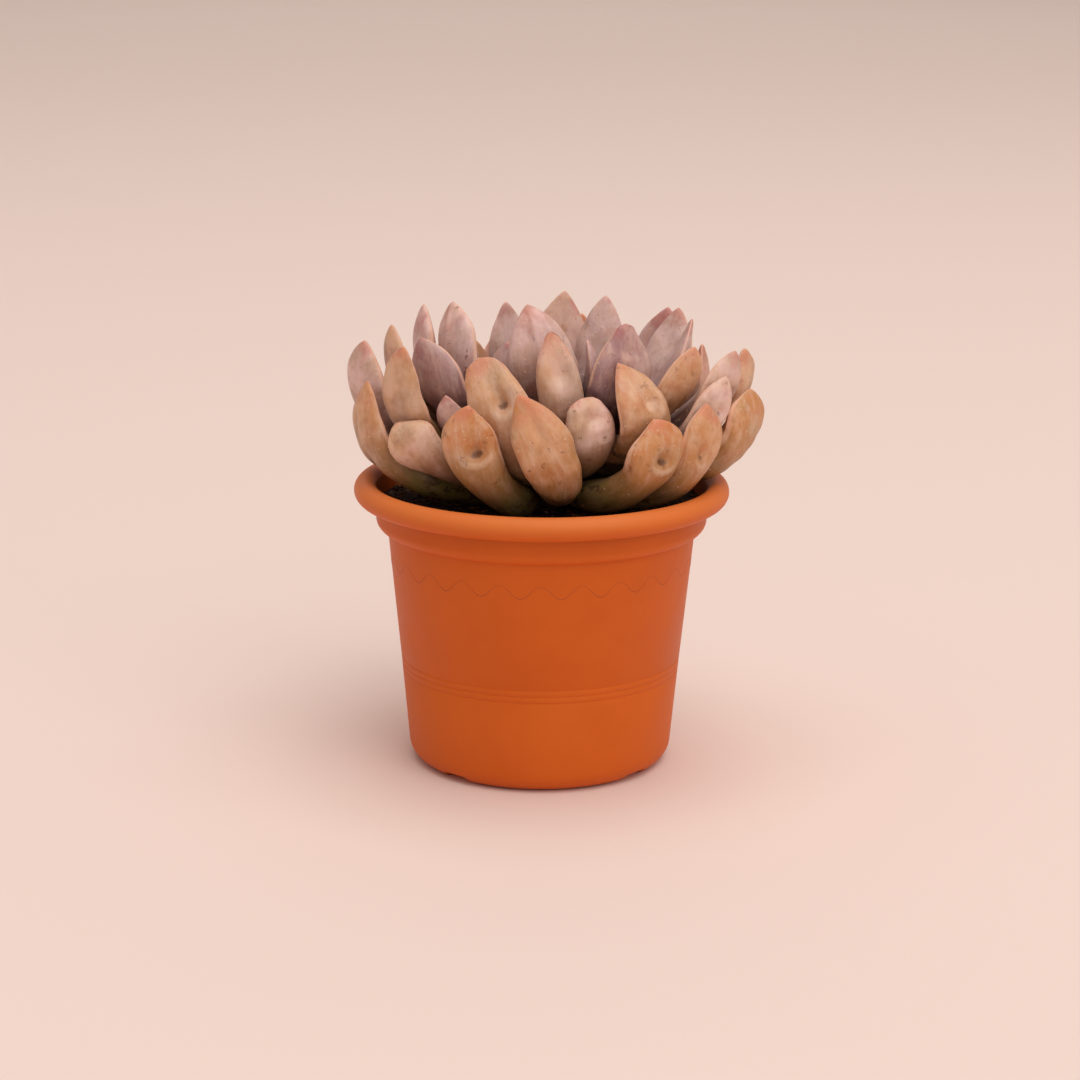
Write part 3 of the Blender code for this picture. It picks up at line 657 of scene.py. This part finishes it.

# How far each leaf has turned from tan (0) to mauve (1), how green its root still is, and how scarred it is.
# The leaves that aren't named turn with their place in the spiral, give or take a little.
# Some values are also set high, towards the darker last stop, as painted shade on leaves that lie in shade.
MAUVE = {
    0: 0.18, 1: 0.06, 3: 0.05, 4: 0.42, 5: 0.28, 6: 0.04, 7: 0.20, 8: 0.36, 9: 0.04, 11: 0.06, 12: 0.80,
    13: 0.58, 14: 0.56, 16: 0.26, 17: 0.24, 18: 0.66, 19: 0.46, 20: 0.52, 21: 0.28, 22: 0.52, 23: 0.20,
    24: 0.70, 25: 0.64, 26: 0.42, 27: 0.20, 29: 0.72, 30: 0.74, 32: 0.40, 33: 0.68, 34: 1.0, 35: 0.22,
    36: 0.72, 37: 0.66, 39: 0.66, 40: 1.0,
}
MAUVE_OLDEST = 0.25
MAUVE_GAIN = 0.6
MAUVE_SPREAD = 0.12
GREEN_ROOTS = {0: 1.0, 3: 1.0, 6: 0.7, 11: 0.8, 1: 0.6, 9: 0.6, 21: 0.8}
GREEN_ELSEWHERE = (0.1, 0.6)
SCARRED = {
    1: 0.3, 3: 0.6, 6: 0.7, 8: 0.3, 11: 0.9, 14: 0.6, 16: 0.5, 19: 1.0, 27: 0.6, 32: 0.4, 35: 0.7, 37: 0.4,
    39: 1.0, 40: 0.5,
}
SCARRED_ELSEWHERE = 0.25


def polar(azimuth, reach, height):
    """A point at an azimuth, a distance from the stem's middle and a height."""
    point = outward(float(azimuth)) * reach
    point[2] = height
    return point


def short_turn(azimuth, target):
    """The target azimuth, written as the near side of the given one."""
    return azimuth + (target - azimuth + 180.0) % 360.0 - 180.0


def between(pair, share):
    """A value that lies a share of the way between a pair."""
    return pair[0] + (pair[1] - pair[0]) * share


def leaf_rows():
    """Every leaf's sizes: those that the front shows, and the others by the spiral's own rule."""
    draw = np.random.default_rng(SEED)
    rows = []
    for place in range(LEAF_COUNT + BUD_LEAF_COUNT):
        azimuth = short_turn(0.0, FIRST_AZIMUTH + GOLDEN_ANGLE * place)
        swing, stretch = draw.uniform(-1.0, 1.0, 2)
        if place in SHOWN_LEAVES:
            row = SHOWN_LEAVES[place]
        elif place < LEAF_COUNT:
            age = place / LEAF_COUNT
            reach = between(HIDDEN_REACHES, age) + HIDDEN_STRETCH * stretch
            height = between(HIDDEN_HEIGHTS, age) - FRONT_DIP * math.cos(math.radians(azimuth)) + stretch
            row = (azimuth + HIDDEN_SWING * swing, reach, height, between(HIDDEN_WIDTHS, age) + stretch,
                   azimuth, reach + between(HIDDEN_KNEES_BEYOND, age), between(HIDDEN_KNEE_HEIGHTS, age),
                   azimuth, 0.0)
        else:
            age = (place - LEAF_COUNT) / BUD_LEAF_COUNT
            reach = between(BUD_REACHES, age)
            row = (azimuth + BUD_SWING * swing, reach, between(BUD_HEIGHTS, age), between(BUD_WIDTHS, age),
                   azimuth, reach + between(BUD_KNEES_BEYOND, age), BUD_KNEE_HEIGHT, azimuth, 0.0)
        rows.append((azimuth,) + row)
    return rows


def leaf_controls(rows):
    """Four control points for each leaf's centre line, its head's width, the way that its back faces at
    its root and head, and its keel."""
    controls, widths, facings, keels = [], [], [], []
    for place, row in enumerate(rows):
        azimuth, tip_azimuth, tip_reach, tip_height, width, knee_azimuth, knee_reach, knee_height = row[:8]
        knee = polar(knee_azimuth, knee_reach * MM, knee_height * MM)
        tip = polar(tip_azimuth, tip_reach * MM, tip_height * MM)
        root_height = FIRST_HEIGHT + HEIGHT_STEP * min(place, LEAF_COUNT)
        root_reach = BUD_ROOT_REACH
        if place < LEAF_COUNT:
            away = knee - polar(azimuth, STEM_RADIUS, root_height)
            away /= np.linalg.norm(away)
            tilt = math.sqrt(1.0 - min(1.0, (away @ outward(azimuth)) ** 2))
            root_reach = STEM_RADIUS + GAP + tilt * CLUB_WIDTHS[0] * width * MM / 2
        root = polar(azimuth, root_reach, root_height)
        stand = tip + BEND * (knee - tip)
        if place in HEAD_STANDS:
            azimuth_there, reach_there, height_there = HEAD_STANDS[place]
            stand = polar(azimuth_there, reach_there * MM, height_there * MM)
        controls.append((root, root + BEND * (knee - root), stand, tip))
        widths.append(width * MM)
        facings.append((azimuth, short_turn(azimuth, row[8])))
        keels.append(row[9] * MM)
    return np.array(controls), np.array(widths), np.array(facings), np.array(keels)


def bezier_weights(along):
    """Shares of the four control points, and of their slope, at each fraction along a centre line."""
    back = 1.0 - along
    shares = np.stack([back ** 3, 3 * back ** 2 * along, 3 * back * along ** 2, along ** 3], axis=1)
    slopes = np.stack([-3 * back ** 2, 3 * back ** 2 - 6 * back * along,
                       6 * back * along - 3 * along ** 2, 3 * along ** 2], axis=1)
    return shares, slopes


def leaf_frames(controls, facings, along):
    """Centre points and the directions along, across and out of the back of each leaf."""
    shares, slopes = bezier_weights(along)
    centres = np.einsum("km,lmc->lkc", shares, controls)
    ahead = np.einsum("km,lmc->lkc", slopes, controls)
    ahead /= np.linalg.norm(ahead, axis=2, keepdims=True)
    turn = facings[:, :1] + (facings[:, 1:] - facings[:, :1]) * along[None, :]
    across = sideways(turn)
    across -= ahead * (across * ahead).sum(axis=2, keepdims=True)
    across /= np.linalg.norm(across, axis=2, keepdims=True)
    return centres, ahead, across, np.cross(across, ahead)


def leaf_profile(place):
    """Width and thickness at the stations, as shares of the head's width, from clubs to ovals."""
    oval = min(1.0, place / OVAL_FROM)
    widths = between((np.array(CLUB_WIDTHS), np.array(OVAL_WIDTHS)), oval)
    thicknesses = between((np.array(CLUB_THICKNESSES), np.array(OVAL_THICKNESSES)), oval)
    widths = np.maximum(widths, BLUNT.get(place, 0.0) * np.array(BLUNT_ENDS))
    stout = 1.0 + (STALKS.get(place, 1.0) - 1.0) * np.array(STALK_SHARES)
    return widths * stout, thicknesses * stout


def ground_height(reach):
    """Height that a leaf's underside keeps above: soil inside the pot, the rolled rim at its edge."""
    rim_top = ROLL_CENTRE_HEIGHT + ROLL_RADIUS
    rim_inside = RIM_RADIUS - 2 * ROLL_RADIUS
    return GAP + np.interp(reach, (rim_inside - RIM_APPROACH[0], rim_inside + RIM_APPROACH[1]),
                           (SOIL_TOP, rim_top))


def settle(controls, widths, facings, keels):
    """Lean crowded leaves apart: each short length of leaf is an ellipsoid that pushes the others away."""
    along = np.array(SETTLE_STATIONS)
    shares = bezier_weights(along)[0]
    movable = shares * np.array((0.0, 1.0, 1.0, 1.0))
    leaf_count, step_count = len(controls), len(along)
    profiles = [[np.interp(along, STATIONS, part) for part in leaf_profile(place)]
                for place in range(leaf_count)]
    half_widths = np.array([profile[0] for profile in profiles]) * widths[:, None] / 2
    half_thicknesses = np.array([profile[1] for profile in profiles]) * widths[:, None] / 2
    half_thicknesses += np.maximum(0.0, keels)[:, None] / 2
    leaf_of = np.repeat(np.arange(leaf_count), step_count)
    for _ in range(SETTLE_ROUNDS):
        centres, ahead, across, out = leaf_frames(controls, facings, along)
        half_lengths = np.linalg.norm(np.gradient(centres, axis=1), axis=2) * SETTLE_LENGTH
        axes = np.stack([across, out, ahead], axis=2).reshape(-1, 3, 3)
        sizes = np.stack([half_widths, half_thicknesses, half_lengths], axis=2).reshape(-1, 3)
        sizes = sizes + SETTLE_GAP / 2
        spreads = np.einsum("pic,pi,pid->pcd", axes, sizes ** 2, axes)
        points = centres.reshape(-1, 3)
        reach = sizes.max(axis=1)
        near = np.linalg.norm(points[:, None] - points[None], axis=2) < reach[:, None] + reach[None]
        near &= leaf_of[:, None] < leaf_of[None]
        near &= (leaf_of[:, None] < LEAF_COUNT) | (leaf_of[None] < LEAF_COUNT)
        first, second = np.nonzero(near)
        apart = points[second] - points[first]
        spread = SETTLE_FIRMNESS * (spreads[first] + spreads[second])
        pull = np.linalg.solve(spread, apart[..., None])[..., 0]
        touch = (pull * apart).sum(axis=1)
        hit = touch < 1.0
        first, second, pull, touch = first[hit], second[hit], pull[hit], touch[hit]
        push = pull * ((1.0 - touch) / (2.0 * (pull ** 2).sum(axis=1)))[:, None]
        pushes = np.zeros_like(points)
        counts = np.zeros(len(points))
        np.add.at(pushes, first, -push / 2)
        np.add.at(pushes, second, push / 2)
        np.add.at(counts, first, 1.0)
        np.add.at(counts, second, 1.0)
        pushes = (pushes / np.maximum(counts, 1.0)[:, None]).reshape(centres.shape)
        lows = centres[..., 2] - np.hypot(across[..., 2] * half_widths, out[..., 2] * half_thicknesses)
        floors = ground_height(np.hypot(centres[..., 0], centres[..., 1]))
        pushes[..., 2] += np.maximum(0.0, floors - lows)
        pushed = (np.linalg.norm(pushes, axis=2) > 0.0).astype(float)
        totals = np.einsum("lk,km->lm", pushed, movable)
        moves = np.einsum("km,lkc->lmc", movable, pushes) / np.maximum(totals, LEAST_HOLD)[..., None]
        controls = controls + SETTLE_GAIN * moves
    return controls


LEAF_SIDES = 56
LEAF_RINGS = 96
BACK_FLATNESS = 0.35
FRONT_ROUNDING = 0.3
YOUNG_FLATNESS = 0.5
HEAD_FROM = 0.35
HEAD_TO = 0.7
BUD_LEAF_SIDES = 24
BUD_LEAF_RINGS = 40
LUMP_HEIGHT = 0.30 * MM
LUMP_WAVES = 9
LUMP_LENGTHS = (6.0 * MM, 16.0 * MM)
LUMP_PACE = 2.2
LUMP_SEED = 1000
LENGTH_STEPS = 60
KEEL_WIDTH = 0.16
MARGIN_WIDTH = 0.22
LEAF_OFFSET = 0.13

# A pit: how steeply it falls from the tip's side and the root's, its lip's and saucer's heights as shares of
# its depth, places and widths in half pit sizes, and how much painted shade its floor and wall get and how
# much painted highlight its lip gets.
PIT_SLOPE = 0.7
PIT_SCARP = 1.35
PIT_LIP = 0.17
PIT_LIP_PLACE = 2.0
PIT_LIP_WIDTH = 0.7
PIT_SAUCER = 0.35
PIT_SAUCER_WIDTH = 2.4
PIT_WALL_PLACE = 0.7
PIT_WALL_WIDTH = 0.45
PIT_FLOOR_PAINTED_SHADE = 0.45
PIT_WALL_PAINTED_SHADE = 0.75
PIT_LIP_PAINTED_HIGHLIGHT = 0.5


def smooth_through(along, values):
    """A smooth line through the stations' values, which ends at nothing at the tip."""
    places = np.array(STATIONS + (1.0,))
    heights = np.append(values, 0.0)
    slopes = np.gradient(heights, places)
    step = np.clip(np.searchsorted(places, along) - 1, 0, len(places) - 2)
    gap = places[step + 1] - places[step]
    t = (along - places[step]) / gap
    line = (heights[step] * (1 + 2 * t) * (1 - t) ** 2 + slopes[step] * gap * t * (1 - t) ** 2
            + heights[step + 1] * t ** 2 * (3 - 2 * t) + slopes[step + 1] * gap * t ** 2 * (t - 1))
    return np.maximum(0.0, line)


def smooth_step(value, low, high):
    """A share from 0 at low to 1 at high, with soft ends."""
    share = np.clip((value - low) / (high - low), 0.0, 1.0)
    return share * share * (3.0 - 2.0 * share)


def press_pits(place, along, side, rise, length, half_widths):
    """How far the leaf's pits dip at each point, and the shade and highlight painted there."""
    dips = np.zeros(len(along))
    pit_painted_shade_and_highlight = np.zeros(len(along))
    back = smooth_step(rise, 0.0, 0.35)
    for pit_along, pit_side, half_length, half_width, depth, dark in PITS.get(place, ()):
        up = (along - pit_along) * length / (half_length * MM)
        up *= np.where(up > 0.0, PIT_SLOPE, PIT_SCARP)
        far = np.hypot(up, (side - pit_side) * half_widths / (half_width * MM))
        rootward = -up / (far + 0.01)
        middle = np.exp(-far ** 2)
        lip = np.exp(-((far - PIT_LIP_PLACE) / PIT_LIP_WIDTH) ** 2) * smooth_step(rootward, -0.3, 0.9)
        wall = np.exp(-((far - PIT_WALL_PLACE) / PIT_WALL_WIDTH) ** 2) * smooth_step(rootward, -0.2, 0.8)
        dip = middle + PIT_SAUCER * np.exp(-(far / PIT_SAUCER_WIDTH) ** 2) - PIT_LIP * lip
        dips += depth * MM * dip * back
        # Painted shade in the pit's floor and on its wall at the root's side, and a painted highlight on its
        # lip.
        shade = dark * (PIT_FLOOR_PAINTED_SHADE * middle + PIT_WALL_PAINTED_SHADE * wall)
        pit_painted_shade_and_highlight += (shade - PIT_LIP_PAINTED_HIGHLIGHT * max(0.0, dark) * lip) * back
    return dips, pit_painted_shade_and_highlight


def leaf_surface(place, ball):
    """Points of one leaf, and what its skin needs to know there, from the points of a unit ball whose
    poles are the leaf's root and tip."""
    along = np.arccos(np.clip(-ball[:, 2], -1.0, 1.0)) / math.pi
    around = np.arctan2(-ball[:, 1], ball[:, 0])
    side, rise = np.cos(around), np.sin(around)
    control, facing = controls[place][None], facings[place][None]
    centres, _, across, out = (part[0] for part in leaf_frames(control, facing, along))
    half_widths, half_thicknesses = (smooth_through(along, part) * widths[place] / 2
                                     for part in leaf_profile(place))
    head = smooth_step(along, HEAD_FROM, HEAD_TO)
    flat = BACK_FLATNESS * head * (1.0 if place < OLD_LEAF_COUNT else YOUNG_FLATNESS)
    bulge = np.sign(rise) * np.abs(rise) ** np.where(rise > 0.0, 1.0 - flat, 1.0 + FRONT_ROUNDING * head)
    bulge = bulge * (1.0 + np.copysign(MARGIN_LIFT, rise)) - MARGIN_LIFT
    spine = leaf_frames(control, facing, np.linspace(0.0, 1.0, LENGTH_STEPS))[0][0]
    length = np.linalg.norm(np.diff(spine, axis=0), axis=1).sum()
    grain = np.stack([side * half_widths, bulge * half_thicknesses, along * length], axis=1)
    draw = np.random.default_rng(LUMP_SEED + place)
    lumps = np.zeros(len(along))
    for _ in range(LUMP_WAVES):
        wave = draw.normal(size=3) / draw.uniform(*LUMP_LENGTHS)
        lumps += np.sin(grain @ (wave * LUMP_PACE) + draw.uniform(0.0, math.tau)) / LUMP_WAVES ** 0.5
    lumps *= LUMP_HEIGHT * smooth_step(along, 0.0, 0.2) * (1.0 - smooth_step(along, 0.9, 1.0))
    away = across * side[:, None] + out * rise[:, None]
    points = (centres + across * (side * half_widths)[:, None] + out * (bulge * half_thicknesses)[:, None]
              + away * lumps[:, None])
    keel = max(0.0, keels[place]) * np.exp(-(side / KEEL_WIDTH) ** 2) * (rise > 0.0)
    keel = keel * smooth_step(along, 0.4, 0.6) * (1.0 - smooth_step(along, 0.88, 1.0))
    dips, pit_painted_shade_and_highlight = press_pits(place, along, side, rise, length, half_widths)
    points += out * (keel - dips)[:, None]
    age = min(1.0, place / LEAF_COUNT)
    drawn_mauve = MAUVE_OLDEST + MAUVE_GAIN * age + draw.uniform(-MAUVE_SPREAD, MAUVE_SPREAD)
    drawn_green = draw.uniform(*GREEN_ELSEWHERE) if place < OLD_LEAF_COUNT else 0.0
    grain[:, 2] += LEAF_OFFSET * place
    skin = {"along": along, "pit_painted_shade_and_highlight": pit_painted_shade_and_highlight,
            "mauve": np.full(len(along), MAUVE.get(place, drawn_mauve)),
            "margin": np.exp(-(rise / MARGIN_WIDTH) ** 2) * smooth_step(along, 0.45, 0.7),
            "green": np.full(len(along), GREEN_ROOTS.get(place, drawn_green)),
            "scarred": np.full(len(along), SCARRED.get(place, SCARRED_ELSEWHERE))}
    return points, skin, grain


def make_leaves(name, places, sides, rings, finish):
    """One piece from balls drawn out into leaves, with the skin's values at every point."""
    ball = bmesh.new()
    bmesh.ops.create_uvsphere(ball, u_segments=sides, v_segments=rings, radius=1.0)
    pattern = bpy.data.meshes.new("ball")
    ball.to_mesh(pattern)
    ball.free()
    shape = bmesh.new()
    for _ in places:
        shape.from_mesh(pattern)
    bpy.data.meshes.remove(pattern)
    piece = make_piece(name, shape, finish)
    mesh = piece.data
    balls = np.empty(len(mesh.vertices) * 3)
    mesh.vertices.foreach_get("co", balls)
    skins = [leaf_surface(place, ball) for place, ball in zip(places, balls.reshape(len(places), -1, 3))]
    mesh.vertices.foreach_set("co", np.concatenate([skin[0] for skin in skins]).ravel())
    for value in skins[0][1]:
        layer = mesh.attributes.new(value, "FLOAT", "POINT")
        layer.data.foreach_set("value", np.concatenate([skin[1][value] for skin in skins]))
    layer = mesh.attributes.new("grain", "FLOAT_VECTOR", "POINT")
    layer.data.foreach_set("vector", np.concatenate([skin[2] for skin in skins]).ravel())
    mesh.update()
    mesh.shade_smooth()
    return piece


def leaf_skin():
    """Waxy leaf skin: tan to mauve heads, olive or purple stalks with painted shade, red tips, pale margins
    with a painted highlight, powdery bloom, painted shade and highlight in the pits, cream specks and brown
    scars, with lengthwise wrinkles."""
    finish, tree, shader = new_finish("Leaf skin")
    read = {name: put(tree, "Attribute", attribute_name=name).outputs["Fac"]
            for name in ("along", "mauve", "margin", "green", "pit_painted_shade_and_highlight", "scarred")}
    grain = put(tree, "Attribute", attribute_name="grain").outputs["Vector"]
    stretched = put(tree, "Mapping", {"Vector": grain, "Scale": (1.0, 1.0, 0.25)}).outputs["Vector"]
    cloud = grained(grain, 110.0, 3.0, 0.6)
    turning = reckoned("ADD", read["mauve"], ranged(cloud, 0.3, 0.7, -0.12, 0.12))
    head = ramped(turning, ((0.0, (204, 138, 82)), (0.33, (226, 180, 144)), (0.66, (234, 196, 188)),
                            (1.0, (166, 122, 122))))
    # Stalk colours: partly the stalks' own olive and purple, partly painted shade from the leaves above
    # them.
    stalk_colour_and_shade = ramped(turning, ((0.0, (158, 112, 66)), (0.33, (142, 100, 74)), (0.66, (98, 62, 62)),
                             (1.0, (70, 44, 52))))
    tip = ramped(turning, ((0.0, (220, 118, 76)), (0.4, (208, 122, 96)), (1.0, (190, 104, 94))))
    reach = reckoned("ADD", read["along"], ranged(cloud, 0.3, 0.7, -0.06, 0.06))
    patch = ranged(grained(grain, 170.0, 4.0, 0.6), 0.46, 0.66, 0.0, 0.6)
    orange = coloured(turning, seen(206, 116, 60), seen(212, 164, 148))
    colour = coloured(patch, head, orange)
    dull = ranged(grained(grain, 85.0, 3.0), 0.47, 0.68, 0.0, 0.55)
    olive = coloured(turning, seen(172, 142, 96), seen(198, 170, 164))
    colour = coloured(dull, colour, olive)
    # The darker stalk colour reaches far up each leaf, so the lower halves also carry painted shade.
    covered = ranged(reach, 0.40, 0.88)
    colour = coloured(covered, stalk_colour_and_shade, colour)
    green_share = reckoned("MULTIPLY", ranged(reach, 0.60, 0.30), read["green"])
    colour = coloured(green_share, colour, seen(116, 104, 50))
    blotch = ranged(grained(grain, 230.0, 3.0, 0.6), 0.52, 0.60)
    low = ranged(read["along"], 0.46, 0.30, 0.0, 0.8)
    colour = coloured(reckoned("MULTIPLY", blotch, low), colour, seen(66, 44, 26))
    bloom = ranged(grained(stretched, 420.0, 5.0, 0.7), 0.4, 0.75, 0.0, 0.40)
    bloom = reckoned("MULTIPLY", bloom, ranged(covered, 0.0, 1.0, 0.3, 1.0, False))
    colour = coloured(bloom, colour, seen(232, 204, 186))
    colour = coloured(ranged(reach, 0.91, 1.02, 0.0, 0.6), colour, tip)
    # Pale margins: partly the margins' own colour, partly a painted highlight along the leaf edges.
    rim = ranged(read["margin"], 0.35, 1.0, 0.0, 0.75)
    colour = coloured(rim, colour, seen(242, 192, 164))
    # Painted highlight on the pits' lips and pale centres.
    lip = ranged(read["pit_painted_shade_and_highlight"], -0.10, -0.45, 0.0, 0.22)
    colour = coloured(lip, colour, seen(246, 222, 200))
    # Painted shade in the pits' floors and on their walls at the root's side.
    painted_pit_shade = ranged(read["pit_painted_shade_and_highlight"], 0.25, 1.05, 0.0, 0.85)
    colour = coloured(painted_pit_shade, colour, seen(98, 56, 34))
    cells = put(tree, "TexVoronoi", {"Vector": grain, "Scale": 420.0, "Randomness": 1.0})
    lot = put(tree, "SeparateColor", {"Color": cells.outputs["Color"]}).outputs[0]
    dot = ranged(cells.outputs["Distance"], 0.22, 0.06)
    speck = reckoned("MULTIPLY", dot, ranged(lot, 0.62, 0.66))
    colour = coloured(reckoned("MULTIPLY", speck, 0.4), colour, seen(244, 214, 180))
    scar = ranged(grained(grain, 300.0, 5.0, 0.7), 0.60, 0.66, 0.0, 0.65)
    scar = reckoned("MULTIPLY", scar, read["scarred"])
    colour = coloured(scar, colour, seen(118, 52, 34))
    prick = ranged(grained(grain, 1300.0, 2.0), 0.70, 0.76, 0.0, 0.6)
    colour = coloured(prick, colour, seen(150, 84, 58))
    plug(shader.inputs["Base Color"], colour)
    plug(shader.inputs["Roughness"], ranged(bloom, 0.0, 0.35, 0.38, 0.56, False))
    wrinkle = raised(grained(stretched, 700.0, 4.0, 0.6), 0.55 * MM, 0.6)
    fine = raised(grained(grain, 1300.0, 3.0), 0.09 * MM, 0.6, wrinkle)
    scuffed = raised(scar, -0.25 * MM, 0.7, fine)
    plug(shader.inputs["Normal"], raised(speck, 0.14 * MM, 0.7, scuffed))
    shader.inputs["Subsurface Weight"].default_value = 0.10
    shader.inputs["Subsurface Radius"].default_value = (1.0, 0.4, 0.25)
    shader.inputs["Subsurface Scale"].default_value = 2.0 * MM
    shader.inputs["Specular IOR Level"].default_value = 0.42
    return finish


controls, widths, facings, keels = leaf_controls(leaf_rows())
controls = settle(controls, widths, facings, keels)
skin_finish = leaf_skin()
for place in range(LEAF_COUNT):
    leaf = make_leaves(f"echeveria_leaf_{place:02d}", [place], LEAF_SIDES, LEAF_RINGS, skin_finish)
    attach(leaf, "root")
    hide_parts(f"leaf_{place:02d}")

# Stem and bud: the short woody stem that carries the leaves, ringed where old ones have dropped, and the
# youngest leaves, still closed together as one bud on its end.
STEM_RING_STEP = 3.0 * MM
STEM_RING_DEPTH = 0.35 * MM
STEM_STEPS = 48


def stem_bark():
    """Brown, corky bark in lighter and darker patches."""
    finish, tree, shader = new_finish("Stem bark")
    place = put(tree, "TexCoord").outputs["Object"]
    patch = ranged(grained(place, 300.0, 4.0), 0.35, 0.7)
    plug(shader.inputs["Base Color"], coloured(patch, seen(70, 46, 28), seen(118, 86, 52)))
    plug(shader.inputs["Normal"], raised(grained(place, 900.0, 4.0), 0.3 * MM))
    shader.inputs["Roughness"].default_value = 0.8
    return finish


stem_foot = SOIL_TOP - STEM_HOLE_DEPTH + GAP
stem_profile = [(0.0, stem_foot)]
for ring in range(int((STEM_SHOULDER - stem_foot) / STEM_RING_STEP)):
    low = stem_foot + ring * STEM_RING_STEP
    stem_profile += [(STEM_RADIUS, low), (STEM_RADIUS, low + 0.7 * STEM_RING_STEP),
                     (STEM_RADIUS - STEM_RING_DEPTH, low + 0.85 * STEM_RING_STEP)]
stem_profile += [(STEM_RADIUS, STEM_SHOULDER), (0.75 * STEM_RADIUS, 0.6 * STEM_TOP + 0.4 * STEM_SHOULDER),
                 (0.0, STEM_TOP)]
stem = make_piece("stem", turned(stem_profile, STEM_STEPS), stem_bark())
bud = make_leaves("bud", range(LEAF_COUNT, LEAF_COUNT + BUD_LEAF_COUNT), BUD_LEAF_SIDES, BUD_LEAF_RINGS,
                  skin_finish)
for piece in (stem, bud):
    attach(piece, "root")
    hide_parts("stem_with_bud")

# Studio: a plain, pale pink floor, a wide soft light from the front right, one straight above and one over
# the floor behind, and the camera where the photograph was taken, a little above the plant.
FLOOR_REACH = 12.0
CAMERA_PLACE = (-0.39 * MM, -800.5 * MM, 272.96 * MM)
CAMERA_PITCH = 0.2464
CAMERA_ROLL = 0.0078
CAMERA_LENS = 85.42
PLANT_MIDDLE = (0.0, 0.0, 0.1)
AIR_STRENGTH = 0.42

floor_shape = bmesh.new()
bmesh.ops.create_grid(floor_shape, x_segments=1, y_segments=1, size=FLOOR_REACH)
floor_finish, _, floor_shader = new_finish("Studio floor")
floor_shader.inputs["Base Color"].default_value = seen(240, 218, 207)
floor_shader.inputs["Roughness"].default_value = 0.9
floor_shader.inputs["Specular IOR Level"].default_value = 0.1
floor = make_piece("studio_floor", floor_shape, floor_finish)


def soft_light(name, place, aim, size, power, colour):
    """A square soft light that faces a point."""
    lamp = bpy.data.lights.new(name, "AREA")
    lamp.size = size
    lamp.energy = power
    lamp.color = colour
    made = bpy.data.objects.new(name, lamp)
    made.location = place
    made.rotation_mode = "QUATERNION"
    made.rotation_quaternion = (Vector(aim) - Vector(place)).to_track_quat("-Z", "Y")
    show(made)


soft_light("key_light", (1.7, -2.8, 3.2), PLANT_MIDDLE, 3.8, 70.0, (1.0, 0.97, 0.94))
soft_light("top_light", (0.3, -0.2, 3.6), PLANT_MIDDLE, 3.4, 62.0, (1.0, 0.97, 0.95))
soft_light("far_light", (0.0, 6.0, 4.0), (0.0, 6.0, 0.0), 5.0, 56.0, (1.0, 0.97, 0.95))
world = bpy.data.worlds.new("Studio air")
world.use_nodes = True
air = world.node_tree.nodes["Background"].inputs
air["Color"].default_value = (1.0, 0.93, 0.90, 1.0)
air["Strength"].default_value = AIR_STRENGTH
bpy.context.scene.world = world
bpy.context.scene.view_settings.view_transform = "Standard"

lens = bpy.data.cameras.new("camera")
lens.lens = CAMERA_LENS
lens.clip_start = 0.05
lens.clip_end = 50.0
camera = bpy.data.objects.new("camera", lens)
camera.matrix_world = (Matrix.Translation(CAMERA_PLACE)
                       @ Matrix.Rotation(math.pi / 2 - CAMERA_PITCH, 4, "X")
                       @ Matrix.Rotation(CAMERA_ROLL, 4, "Z"))
show(camera)
bpy.context.scene.camera = camera
